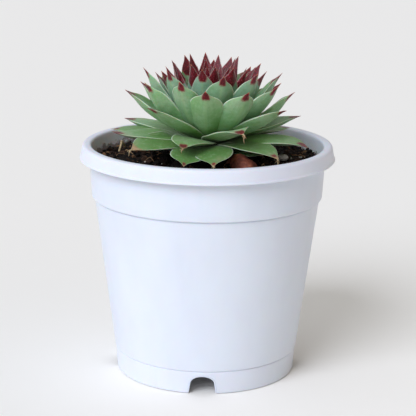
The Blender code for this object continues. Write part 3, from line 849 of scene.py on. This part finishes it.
def build_pot(plastic):
    body = Mesher()
    body.add(*lathe(pot_section(), POT_SEGMENTS))
    pot = body.build("nursery_pot", [plastic])
    face_outwards(pot)
    cutters = Mesher()
    outline = notch_arch()
    near, far = -(FOOT_RADIUS + 3.0), -(FOOT_RADIUS - WALL - 3.0)
    count = len(outline)
    arch = np.array([(x, near, z) for x, z in outline] + [(x, far, z) for x, z in outline])
    faces = [tuple(range(count)), tuple(range(2 * count - 1, count - 1, -1))]
    faces += [(i, (i + 1) % count, (i + 1) % count + count, i + count) for i in range(count)]
    low, high = FLOOR_UNDERSIDE_Z - 2, FLOOR_UNDERSIDE_Z + 4
    hole = [(0.0, low), (DRAIN_RADIUS, low), (DRAIN_RADIUS, high), (0.0, high)]
    drill, drill_faces = lathe(hole, 48)
    drill = np.array(drill) + (0.0, -DRAIN_CIRCLE_RADIUS, 0.0)
    turns = [np.array(Matrix.Rotation(2 * math.pi / NOTCH_COUNT * i, 3, "Z")) for i in range(NOTCH_COUNT)]
    for turn in turns:
        cutters.add(arch @ turn.T, faces)
        cutters.add(drill @ turn.T, drill_faces)
    cutter = cutters.build("pot_cutters", [plastic], smooth=False)
    face_outwards(cutter)
    cut = pot.modifiers.new("cut", "BOOLEAN")
    cut.operation = "DIFFERENCE"
    cut.solver = "EXACT"
    cut.object = cutter
    evaluated = pot.evaluated_get(bpy.context.evaluated_depsgraph_get())
    mesh = bpy.data.meshes.new_from_object(evaluated)
    bpy.data.objects.remove(pot)
    bpy.data.objects.remove(cutter)
    # A moulded bead round each notch.
    bead = Mesher()
    for turn in turns:
        path = []
        for x, z in notch_arch(0.1, -0.45, 36):
            radius = FOOT_RADIUS + FOOT_BAND_FLARE * z / FOOT_BAND_HEIGHT - 0.42
            angle = math.asin(x / radius)
            path.append((radius * math.sin(angle), -radius * math.cos(angle), z))
        points, tube_faces = tube(path, 0.5, 10)
        bead.add(np.array(points) @ turn.T, tube_faces)
    rings = bead.build("notch_beads", [plastic])
    shape = bmesh.new()
    shape.from_mesh(mesh)
    shape.from_mesh(rings.data)
    bpy.data.objects.remove(rings)
    made = bpy.data.meshes.new("nursery_pot")
    shape.to_mesh(made)
    shape.free()
    made.materials.clear()
    made.materials.append(plastic)
    made.polygons.foreach_set("material_index", [0] * len(made.polygons))
    made.shade_smooth()
    made.set_sharp_from_angle(angle=math.radians(POT_SMOOTH_ANGLE))
    return placed("nursery_pot", made)


# ---------------------------------------------------------------- rosette

def midrib(leaf):
    z = leaf_foot_z(leaf)
    clear = FIT_GAP if leaf < SEPARATE_LEAVES else -grown(HEART_JOIN)
    base = Vector((stem_radius(z) + clear, z))
    elevation = math.radians(between(TIP_ELEVATION, leaf))
    distance = grown(between(TIP_DISTANCE, leaf))
    tip = distance * Vector((math.cos(elevation), math.sin(elevation)))
    tip.y += above_soil(FAN_CENTRE_HEIGHT)
    _, out, up = TIP_SHIFT.get(leaf, (0.0, 0.0, 0.0))
    up -= 1.2 * held((leaf - 27) / 4) * held((50 - leaf) / 8)
    tip += Vector((out - 0.9 * between(TIP_FLICK, leaf), up + TIP_CURL.get(leaf, (0.0,))[0]))
    chord = tip - base
    slope = math.atan2(chord.y, chord.x)
    start = slope + math.radians(between(BASE_BEND, leaf))
    end = slope + math.radians(between(TIP_BEND, leaf))
    reach = chord.length / 3
    return np.array((base,
                     base + reach * Vector((math.cos(start), math.sin(start))),
                     tip - reach * Vector((math.cos(end), math.sin(end))),
                     tip))


def on_curve(control, s):
    a, b, c, d = control
    s = np.asarray(s)[:, None]
    r = 1.0 - s
    point = r ** 3 * a + 3 * r * r * s * b + 3 * r * s * s * c + s ** 3 * d
    along = r * r * (b - a) + 2 * r * s * (c - b) + s * s * (d - c)
    return point, along / np.linalg.norm(along, axis=1, keepdims=True)


def stations(count=STATIONS):
    """Places along a leaf, closer together towards the tip."""
    t = np.linspace(0.0, 1.0, count)
    return 1.0 - (1.0 - t) ** 1.55


def section():
    """Places across a leaf, once round: over the upper face and back under."""
    t = np.linspace(-1.0, 1.0, SECTION_STEPS + 1)
    v = np.sin(t * math.pi / 2) * 0.75 + t * 0.25
    over = [(x, 1.0) for x in v]
    under = [(x, 0.0) for x in v[::-1][1:-1]]
    return np.array(over + under)


def blade(control, sizes, azimuth, outline, chance, curl=(0.0, 0.0, 0.0), wave=0.3, flick=0.0,
          roll=0.0):
    """A leaf's rings of points, with its places along, across and over."""
    width, thickness, cup = sizes
    angle = math.radians(azimuth)
    outward = np.array((math.sin(angle), -math.cos(angle), 0.0))
    across = np.array((math.cos(angle), math.sin(angle), 0.0))
    up = np.array((0.0, 0.0, 1.0))
    s = stations()
    share = outline(s)
    body = thickness * smooth_between(BODY, s)
    point, along = on_curve(control, s)
    length = np.linalg.norm(control[-1] - control[0])
    middle = outward * point[:, :1] + up * point[:, 1:]
    normal = -outward * along[:, 1:] + up * along[:, :1]
    tangent = outward * along[:, :1] + up * along[:, 1:]
    # An uneven bow to one side, and the curl of an old tip.
    bow = chance.uniform(-0.9, 0.9)
    middle = middle + across * (bow * np.sin(math.pi * s) * s)[:, None]
    late = np.clip((s - 0.78) / 0.22, 0.0, 1.0)[:, None] ** 2
    down, aside, twist = curl
    middle = middle - up * (down * late + 0.25 * flick * late) + across * (aside * late) \
        + outward * (flick * late)
    middle = middle - tangent * (0.35 * abs(down) * late)
    twists = chance.uniform(-3.0, 3.0) * s + twist * s * s + roll * np.clip(s * 2.5, 0.0, 1.0)
    twists = np.radians(twists)[:, None]
    side_way = across * np.cos(twists) + normal * np.sin(twists)
    face_way = normal * np.cos(twists) - across * np.sin(twists)
    ring = section()
    v, over = ring[:, 0], ring[:, 1]
    share2 = share[:, None]
    thick = np.where(over > 0.5, UPPER_SHARE, UPPER_SHARE - 1.0)
    lens = (1.0 - v * v) ** 0.85
    keel = np.where(over > 0.5, 0.0, -0.22) * np.exp(-(v / 0.16) ** 2)
    groove = np.where(over > 0.5, -0.10, 0.0) * np.exp(-(v / 0.3) ** 2)
    height = cup * share2 * v * v + body[:, None] * thick * lens
    height = height + (keel + groove) * np.sin(math.pi * np.clip(s, 0, 1))[:, None] * (length / 40)
    phase = chance.uniform(0.0, 6.28)
    left = np.sin(s * 9.0 + phase)[:, None]
    right = np.sin(s * 8.0 + phase * 1.7)[:, None]
    ripple = np.where(v > 0, right, left) * wave * np.abs(v) ** 3 * share2 * np.clip(s * 2, 0, 1)[:, None]
    height = height + ripple
    uneven = 1.0 + np.where(v > 0, right, left) * 0.018
    offset = width / 2 * share2 * v * uneven
    points = middle[:, None, :] + side_way[:, None, :] * offset[:, :, None] \
        + face_way[:, None, :] * height[:, :, None]
    return points, s, ring


def cilia(points, s, leaf, chance):
    """Short pale hairs along both margins, three sides each, longer and stouter on young leaves."""
    made, faces = [], []
    young = held((leaf - 30) / 30)
    half = 0.035 + 0.04 * young
    grow = 0.6 + 0.9 * young
    for edge, next_in in ((0, 1), (SECTION_STEPS, SECTION_STEPS - 1)):
        line, inner = points[:, edge], points[:, next_in]
        for i in range(6, len(s) - 4):
            for part in (0.0, 0.5):
                base = line[i] * (1 - part) + line[i + 1] * part
                way = unit(base - (inner[i] * (1 - part) + inner[i + 1] * part))
                along = unit(line[i + 1] - line[i])
                out = way + along * chance.uniform(-0.1, 0.5)
                reach = chance.uniform(0.25, 0.5) * grow
                first = len(made)
                up = np.cross(way, along)
                root = base - way * 0.04
                made += [root - along * half, root + along * half, root + up * half, base + out * reach]
                faces += [(first, first + 1, first + 3), (first + 1, first + 2, first + 3),
                          (first + 2, first, first + 3)]
    return made, faces


def leaf_outline(leaf):
    """The lowest leaves are broad to the end, the next ones taper, and the heart's are spikes."""
    young = held((leaf - 34) / 22)
    tapered = held((leaf - 6) / 2) * held((26 - leaf) / 3)

    def share(s):
        grown_share = smooth_between(GROWN_OUTLINE, s) * (1 - tapered) \
            + smooth_between(TAPERED_OUTLINE, s) * tapered
        return grown_share * (1 - young) + smooth_between(YOUNG_OUTLINE, s) * young

    return share


def add_thread(mesher, tip, leaf, common):
    """A dry, kinked thread hanging from a withered tip, with two short frays beside it."""
    length, thick, aside = TIP_THREAD[leaf]
    for share, lean in ((1.0, 0.0), (0.45, 0.9), (0.35, -0.8)):
        path = []
        for i in range(9):
            far = i / 8
            kink = 0.25 * math.sin(7.0 * far + leaf)
            path.append((tip[0] + aside * far + lean * far + kink, tip[1] - 0.8 * math.sin(2.2 * far),
                         tip[2] + 0.25 - length * share * far ** 1.3))
        radii = thick * share ** 0.5 * np.linspace(1.0, 0.35, 9)
        mesher.add(*tube(path, radii, 6), 0, leaf_along=1.0, leaf_aside=0.0, leaf_upper=1.0, **common)


def add_leaf(mesher, leaf):
    chance = random.Random(LEAF_SEED + leaf)
    turn, _, _ = TIP_SHIFT.get(leaf, (0.0, 0.0, 0.0))
    azimuth = FACING_TURN - GOLDEN_ANGLE * (leaf - FACING_LEAF) + LEAF_TURN.get(leaf, 0.0) + turn
    sizes = [grown(between(table, leaf)) for table in (LEAF_WIDTH, LEAF_THICKNESS, LEAF_CUP)]
    points, s, ring = blade(midrib(leaf), sizes, azimuth, leaf_outline(leaf), chance,
                            TIP_CURL.get(leaf, (0.0, 0.0, 0.0)), 0.45 if leaf < 24 else 0.2,
                            between(TIP_FLICK, leaf), LEAF_ROLL.get(leaf, 0.0))
    z = leaf_foot_z(leaf)
    count = len(ring)
    rows = len(s)
    flat = leaned(points.reshape(-1, 3), z)
    faces = wrapped(rows, count)
    dry_from, dry_tone = TIP_DRY.get(leaf, (2.0, 0.5))
    common = {"leaf_age": leaf / (LEAF_COUNT - 1), "leaf_dry_from": dry_from,
              "leaf_dry_tone": dry_tone, "leaf_chance": chance.random()}
    mesher.add(flat, faces, 0, leaf_along=np.repeat(s, count), leaf_aside=np.tile(ring[:, 0], rows),
               leaf_upper=np.tile(ring[:, 1], rows), **common)
    grid = flat.reshape(rows, count, 3)
    hairs, hair_faces = cilia(grid, s, leaf, chance)
    mesher.add(hairs, hair_faces, 0, leaf_along=0.6, leaf_aside=1.0, leaf_upper=1.0, **common)
    if leaf in TIP_THREAD:
        common.update(leaf_dry_from=-1.0, leaf_dry_tone=0.95)
        add_thread(mesher, grid[-3].mean(axis=0), leaf, common)


LEAF_VALUES = ("leaf_along", "leaf_aside", "leaf_upper", "leaf_age", "leaf_dry_from",
               "leaf_dry_tone", "leaf_chance")


def build_rosette(skin):
    for leaf in range(SEPARATE_LEAVES):
        mesher = Mesher(*LEAF_VALUES)
        add_leaf(mesher, leaf)
        name = f"leaf_{leaf + 1:02d}"
        obj = mesher.build(f"fine_{name}", [skin])
        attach(obj, "root")
        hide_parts(name)
    mesher = Mesher(*LEAF_VALUES)
    for leaf in range(SEPARATE_LEAVES, LEAF_COUNT):
        add_leaf(mesher, leaf)
    heart = mesher.build("fine_heart_leaves", [skin])
    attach(heart, "root")
    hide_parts("heart_leaves")


def build_stem(bark):
    """The stem, ringed with the scars of shed leaves."""
    foot = soil_top_z() - SOCKET_DEPTH
    crown = grown(STEM_CROWN_RADIUS)
    lean_full = above_soil(LEAN_FULL_HEIGHT)
    top = leaf_foot_z(SEPARATE_LEAVES) - grown(2.2)
    profile = [(0.0, foot), (crown / 2, foot), (crown, foot + SOCKET_DEPTH / 2),
               (crown, leaf_foot_z(0)), (stem_radius(lean_full), lean_full),
               (stem_radius(top), top), (0.0, top)]
    outline = divided(profile, 0.8)
    points, faces = lathe(outline, 48)
    made = []
    for x, y, z in points:
        radius = math.hypot(x, y)
        angle = math.atan2(y, x)
        scar = 0.18 * math.sin(z * 3.1 + 2 * angle) + 0.12 * noise.noise(Vector((x, y, z)) * 0.9)
        scale = 1.0 + (scar - 0.25) / max(radius, 3.0) if radius > 0.5 else 1.0
        made.append(leaned([(x * scale, y * scale, z)], z)[0])
    mesher = Mesher()
    mesher.add(made, faces)
    stem = mesher.build("scarred_stem", [bark])
    face_outwards(stem)
    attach(stem, "root")
    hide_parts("stem")


# ---------------------------------------------------------------- soil

def rough_soil(x, y):
    """The fine height of the soil's top."""
    spot = Vector((x, y, 0.0))
    clods = noise.noise(spot / 3.2 + Vector((5.0, 2.0, 1.0)))
    crumbs = noise.noise(spot / 1.1 + Vector((9.0, 4.0, 3.0)))
    grains = noise.noise(spot / 0.5)
    return soil_height(x, y) + 1.0 * clods + 0.55 * crumbs + 0.25 * grains


def lump(chance, size, flat=0.5):
    """Points and faces of one angular crumb."""
    shape = bmesh.new()
    bmesh.ops.create_icosphere(shape, subdivisions=1, radius=1.0)
    stretch = np.array((1.0, chance.uniform(0.45, 0.9), chance.uniform(0.4, 1.0) * flat + 0.15))
    points = np.array([v.co for v in shape.verts])
    jag = np.array([[chance.uniform(0.72, 1.22)] for _ in points])
    faces = [tuple(v.index for v in f.verts) for f in shape.faces]
    shape.free()
    turn = Matrix.Rotation(chance.uniform(0, 6.28), 3, "Z")
    for axis in "XY":
        turn = turn @ Matrix.Rotation(chance.gauss(0, 0.5), 3, axis)
    return (points * jag * stretch * size) @ np.array(turn).T, faces


def drop(mesher, crumb, place, tone):
    """Adds a crumb's points and faces at a place."""
    points, faces = crumb
    mesher.add(points + place, faces, 0, tone=tone)


def scatter_place(chance, low, high):
    radius = math.sqrt(chance.uniform(low * low, high * high))
    angle = chance.uniform(0, 2 * math.pi)
    return radius * math.sin(angle), -radius * math.cos(angle)


def fibre_path(chance, x, y, length, lift):
    heading = chance.uniform(0, 2 * math.pi)
    bend = chance.gauss(0, 0.25)
    path = []
    steps = 7
    for i in range(steps + 1):
        share = i / steps
        z = rough_soil(x, y) + 0.3 + lift * math.sin(math.pi * share)
        limit = inner_radius(min(z, POT_HEIGHT - 8)) - 1.0
        away = math.hypot(x, y)
        if away > limit:
            x, y = x * limit / away, y * limit / away
        path.append((x, y, z))
        heading += bend + chance.gauss(0, 0.2)
        x += math.cos(heading) * length / steps
        y += math.sin(heading) * length / steps
    return path


def build_soil(peat):
    mesher = Mesher("tone")
    edge_radius = inner_radius(soil_top_z()) - 0.1
    around = SOIL_AROUND
    ways = [(math.sin(2 * math.pi * j / around), math.cos(2 * math.pi * j / around)) for j in range(around)]
    radii = np.linspace(0.0, 1.0, SOIL_RINGS + 1)[1:] ** 0.8 * edge_radius
    points = [(0.0, 0.0, soil_top_z())]
    for radius in radii:
        for across, back in ways:
            x, y = radius * across, -radius * back
            points.append((x, y, rough_soil(x, y)))
    heights = np.linspace(soil_top_z() - 3.0, SOIL_SIDE_FOOT_Z, SOIL_SIDE_STEPS)
    for z in heights:
        radius = inner_radius(z) - FIT_GAP
        for across, back in ways:
            wobble = 0.25 * noise.noise(Vector((radius * across, radius * back, z)) / 4)
            rough_radius = radius + wobble - 0.2
            points.append((rough_radius * across, -rough_radius * back, z))
    points.append((0.0, 0.0, SOIL_UNDERSIDE_Z))
    faces = [(0, 1 + j, 1 + (j + 1) % around) for j in range(around)]
    total = SOIL_RINGS + SOIL_SIDE_STEPS
    for ring in range(total - 1):
        low = 1 + ring * around
        for j in range(around):
            after = (j + 1) % around
            faces.append((low + j, low + around + j, low + around + after, low + after))
    last = 1 + (total - 1) * around
    faces += [(last + (j + 1) % around, last + j, len(points) - 1) for j in range(around)]
    tones = np.array([0.07 + 0.12 * noise.noise(Vector(p) / 2.0) for p in points])
    mesher.add(points, faces, 0, tone=np.clip(tones, 0, 1))

    chance = random.Random(SOIL_SEED)
    for _ in range(CRUMBS):
        x, y = scatter_place(chance, 20.0, edge_radius - 1.2)
        size = min(2.8, max(0.4, chance.lognormvariate(-0.2, 0.55)))
        crumb = lump(chance, size, 0.6)
        z = rough_soil(x, y) + size * 0.15
        tone = min(0.9, max(0.02, chance.gauss(0.22, 0.14)))
        if chance.random() < 0.12:
            tone = chance.uniform(0.42, 0.72)
        drop(mesher, crumb, (x, y, z), tone)
    # Bark chips lie flatter.
    for _ in range(BARK_CHIPS):
        x, y = scatter_place(chance, 26.0, edge_radius - 3.0)
        chip = lump(chance, chance.uniform(1.5, 3.2), 0.12)
        drop(mesher, chip, (x, y, rough_soil(x, y) + 0.6), chance.uniform(0.25, 0.55))
    # Roots and fibres.
    for _ in range(FIBRES):
        x, y = scatter_place(chance, 26.0, edge_radius - 3.0)
        path = fibre_path(chance, x, y, chance.uniform(3.0, 9.0), chance.uniform(0.0, 1.4))
        width = chance.uniform(0.1, 0.3)
        radii = width * np.array([0.6, 1, 1, 1, 1, 0.9, 0.7, 0.3])
        tone = chance.choice((0.12, 0.2, 0.3, 0.5, 0.68, 0.74))
        mesher.add(*tube(path, radii, 5), 0, tone=tone)
    # Perlite and pale grit.
    specks = [(*in_frame(x, y), size) for x, y, size in SEEN_GRIT]
    specks += [(*scatter_place(chance, 30.0, edge_radius - 3.0), chance.uniform(0.3, 0.65))
               for _ in range(LOOSE_GRIT)]
    for x, y, size in specks:
        grain = lump(chance, size, 0.9)
        z = rough_soil(x, y) + 0.8 * size + 0.4
        drop(mesher, grain, (x, y, z), chance.uniform(0.86, 1.0))
    # Bits thrown up against the wall.
    for spot_x, spot_y, many in WALL_BITS:
        for _ in range(many):
            x, y = in_frame(spot_x + chance.gauss(0, 3.5), spot_y + chance.gauss(0, 3.5))
            away = math.hypot(x, y)
            inwards = min(1.0, WALL_BITS_RADIUS / away)
            x, y = x * inwards, y * inwards
            bit = lump(chance, chance.uniform(0.5, 1.5), 0.6)
            z = rough_soil(x, y) + chance.uniform(0.2, 1.8)
            drop(mesher, bit, (x, y, z), chance.uniform(0.05, 0.35))
    soil = mesher.build("peat_with_bark", [peat], sharp=35.0)
    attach(soil, "root")
    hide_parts("potting_soil")


def push(spot):
    """Noise in all three directions. The noise module's own vector noise changes from run to run."""
    return np.array([noise.noise(spot + Vector(offset)) for offset in PUSH_OFFSETS])


def build_withered_leaf(husk):
    control = np.array([(grown(radius), above_soil(height))
                        for radius, height in ((42.0, 10.0), (56.0, 22.0), (74.0, 20.0), (86.0, 3.0))])
    sizes = [grown(size) for size in (20.7, 1.5, -9.0)]

    def outline(s):
        return smooth_between(GROWN_OUTLINE, s)

    chance = random.Random(WITHERED_SEED)
    points, s, ring = blade(control, sizes, WITHERED_TURN, outline, chance, (0.6, 0.8, 14.0), 1.2)
    rows, count = len(s), len(ring)
    flat = points.reshape(-1, 3)
    crumple = [push(Vector(p) / 2.6) + 0.5 * push(Vector(p) / 1.1) for p in flat]
    flat = flat + np.array(crumple) * 0.8
    faces = wrapped(rows, count)
    mesher = Mesher("leaf_along")
    mesher.add(flat, faces, 0, leaf_along=np.repeat(s, count))
    leaf = mesher.build("shrivelled_leaf", [husk])
    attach(leaf, "root")
    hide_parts("withered_leaf")


def build_straw(stalk):
    start = Vector((grown(-87.4), grown(22.6)))
    end = Vector((grown(-83.6), grown(45.1)))
    radius = grown(1.1)
    ground = max(soil_height(*start), soil_height(*end)) + radius + FIT_GAP
    path = []
    for i in range(STRAW_STEPS):
        share = i / (STRAW_STEPS - 1)
        bow = grown(7.5) * 4.0 * share * (1.0 - share)
        spot = start.lerp(end, share)
        sway = 0.35 * math.sin(share * 7.0)
        path.append((spot.x + sway, spot.y, ground + bow))
    joint = np.where(np.arange(STRAW_STEPS) == STRAW_JOINT, 1.3, 1.0)
    radii = radius * (0.8 + 0.25 * np.sin(np.linspace(0.3, 2.6, STRAW_STEPS))) * joint
    mesher = Mesher()
    mesher.add(*tube(path, radii, 12))
    straw = mesher.build("bowed_straw", [stalk], sharp=60.0)
    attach(straw, "root")
    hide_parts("straw")


def build_pebble(grit):
    shape = bmesh.new()
    bmesh.ops.create_icosphere(shape, subdivisions=5, radius=1.0)
    low, high = [Vector(corner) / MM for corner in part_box("pebble")]
    centre, half = (low + high) / 2, (high - low) / 2
    points = []
    for vertex in shape.verts:
        lumpy = 1.0 + 0.14 * noise.noise(vertex.co * 1.7) + 0.05 * noise.noise(vertex.co * 5.0) \
            + 0.02 * noise.noise(vertex.co * 14.0)
        points.append([centre[i] + vertex.co[i] * lumpy * half[i] for i in range(3)])
    faces = [tuple(v.index for v in f.verts) for f in shape.faces]
    shape.free()
    mesher = Mesher()
    mesher.add(points, faces)
    pebble = mesher.build("pale_pebble", [grit])
    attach(pebble, "root")
    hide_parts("pebble")


# ---------------------------------------------------------------- camera, floor and light

def pointing(azimuth, elevation):
    """The direction, out from the pot, of an azimuth and a height above the horizon in degrees."""
    turn, rise = math.radians(azimuth), math.radians(elevation)
    return Vector((math.sin(turn) * math.cos(rise), -math.cos(turn) * math.cos(rise), math.sin(rise)))


def add_camera():
    turn = math.radians(CAMERA_TURN)
    back = pointing(CAMERA_TURN, CAMERA_DOWN)
    aside = Vector((math.cos(turn), math.sin(turn), 0.0)) * CAMERA_AIM_ASIDE
    aim = Vector((0.0, 0.0, CAMERA_AIM_Z)) + aside
    camera = placed("camera", bpy.data.cameras.new("camera"))
    camera.location = (aim + back * CAMERA_DISTANCE) * MM
    roll = Matrix.Rotation(math.radians(CAMERA_ROLL), 3, "Z")
    camera.rotation_euler = ((-back).to_track_quat("-Z", "Y").to_matrix() @ roll).to_euler()
    camera.data.lens = CAMERA_LENS
    camera.data.sensor_width = CAMERA_SENSOR
    camera.data.clip_start = 0.05
    camera.data.clip_end = 60.0
    bpy.context.scene.camera = camera


def add_floor():
    mesh = bpy.data.meshes.new("floor")
    corners = [(x * FLOOR_HALF, y * FLOOR_HALF, -FLOOR_DROP) for x, y in ((-1, -1), (1, -1), (1, 1), (-1, 1))]
    mesh.from_pydata(corners, [], [(0, 1, 2, 3)])
    mesh.materials.append(floor_material())
    floor = placed("floor", mesh)


def add_light():
    world = bpy.data.worlds.new("world")
    bpy.context.scene.world = world
    world.use_nodes = True
    nodes, links = world.node_tree.nodes, world.node_tree.links
    background = nodes["Background"]
    background.inputs["Strength"].default_value = SKY_STRENGTH
    # The room is brighter and cooler on the left.
    way = nodes.new("ShaderNodeTexCoord")
    parts = nodes.new("ShaderNodeSeparateXYZ")
    links.new(way.outputs["Generated"], parts.inputs["Vector"])
    share = nodes.new("ShaderNodeMapRange")
    share.inputs["From Min"].default_value = -1.0
    share.inputs["From Max"].default_value = 1.0
    links.new(parts.outputs["X"], share.inputs["Value"])
    blend = nodes.new("ShaderNodeMix")
    blend.data_type = "RGBA"
    blend.inputs[MIX_COLOUR_A].default_value = (*SKY_LEFT, 1.0)
    blend.inputs[MIX_COLOUR_B].default_value = (*SKY_RIGHT, 1.0)
    links.new(share.outputs["Result"], blend.inputs["Factor"])
    links.new(blend.outputs[MIX_COLOUR_RESULT], background.inputs["Color"])
    sun = bpy.data.lights.new("window", "SUN")
    sun.energy = SUN_STRENGTH
    sun.color = SUN_COLOUR
    sun.angle = math.radians(SUN_SIZE)
    lamp = placed("window", sun)
    lamp.rotation_euler = pointing(SUN_TURN, SUN_HEIGHT).to_track_quat("Z", "Y").to_euler()
    scene = bpy.context.scene
    scene.view_settings.view_transform = "Standard"
    scene.view_settings.look = "None"
    scene.view_settings.exposure = 0.0
    scene.view_settings.gamma = 1.0


plastic = white_plastic()
pot = build_pot(plastic)
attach(pot, "root")
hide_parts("pot")
build_soil(soil_material())
build_stem(stem_material())
build_rosette(leaf_skin())
build_withered_leaf(dry_leaf_material())
build_straw(straw_material())
build_pebble(grit_material())
add_camera()
add_floor()
add_light()
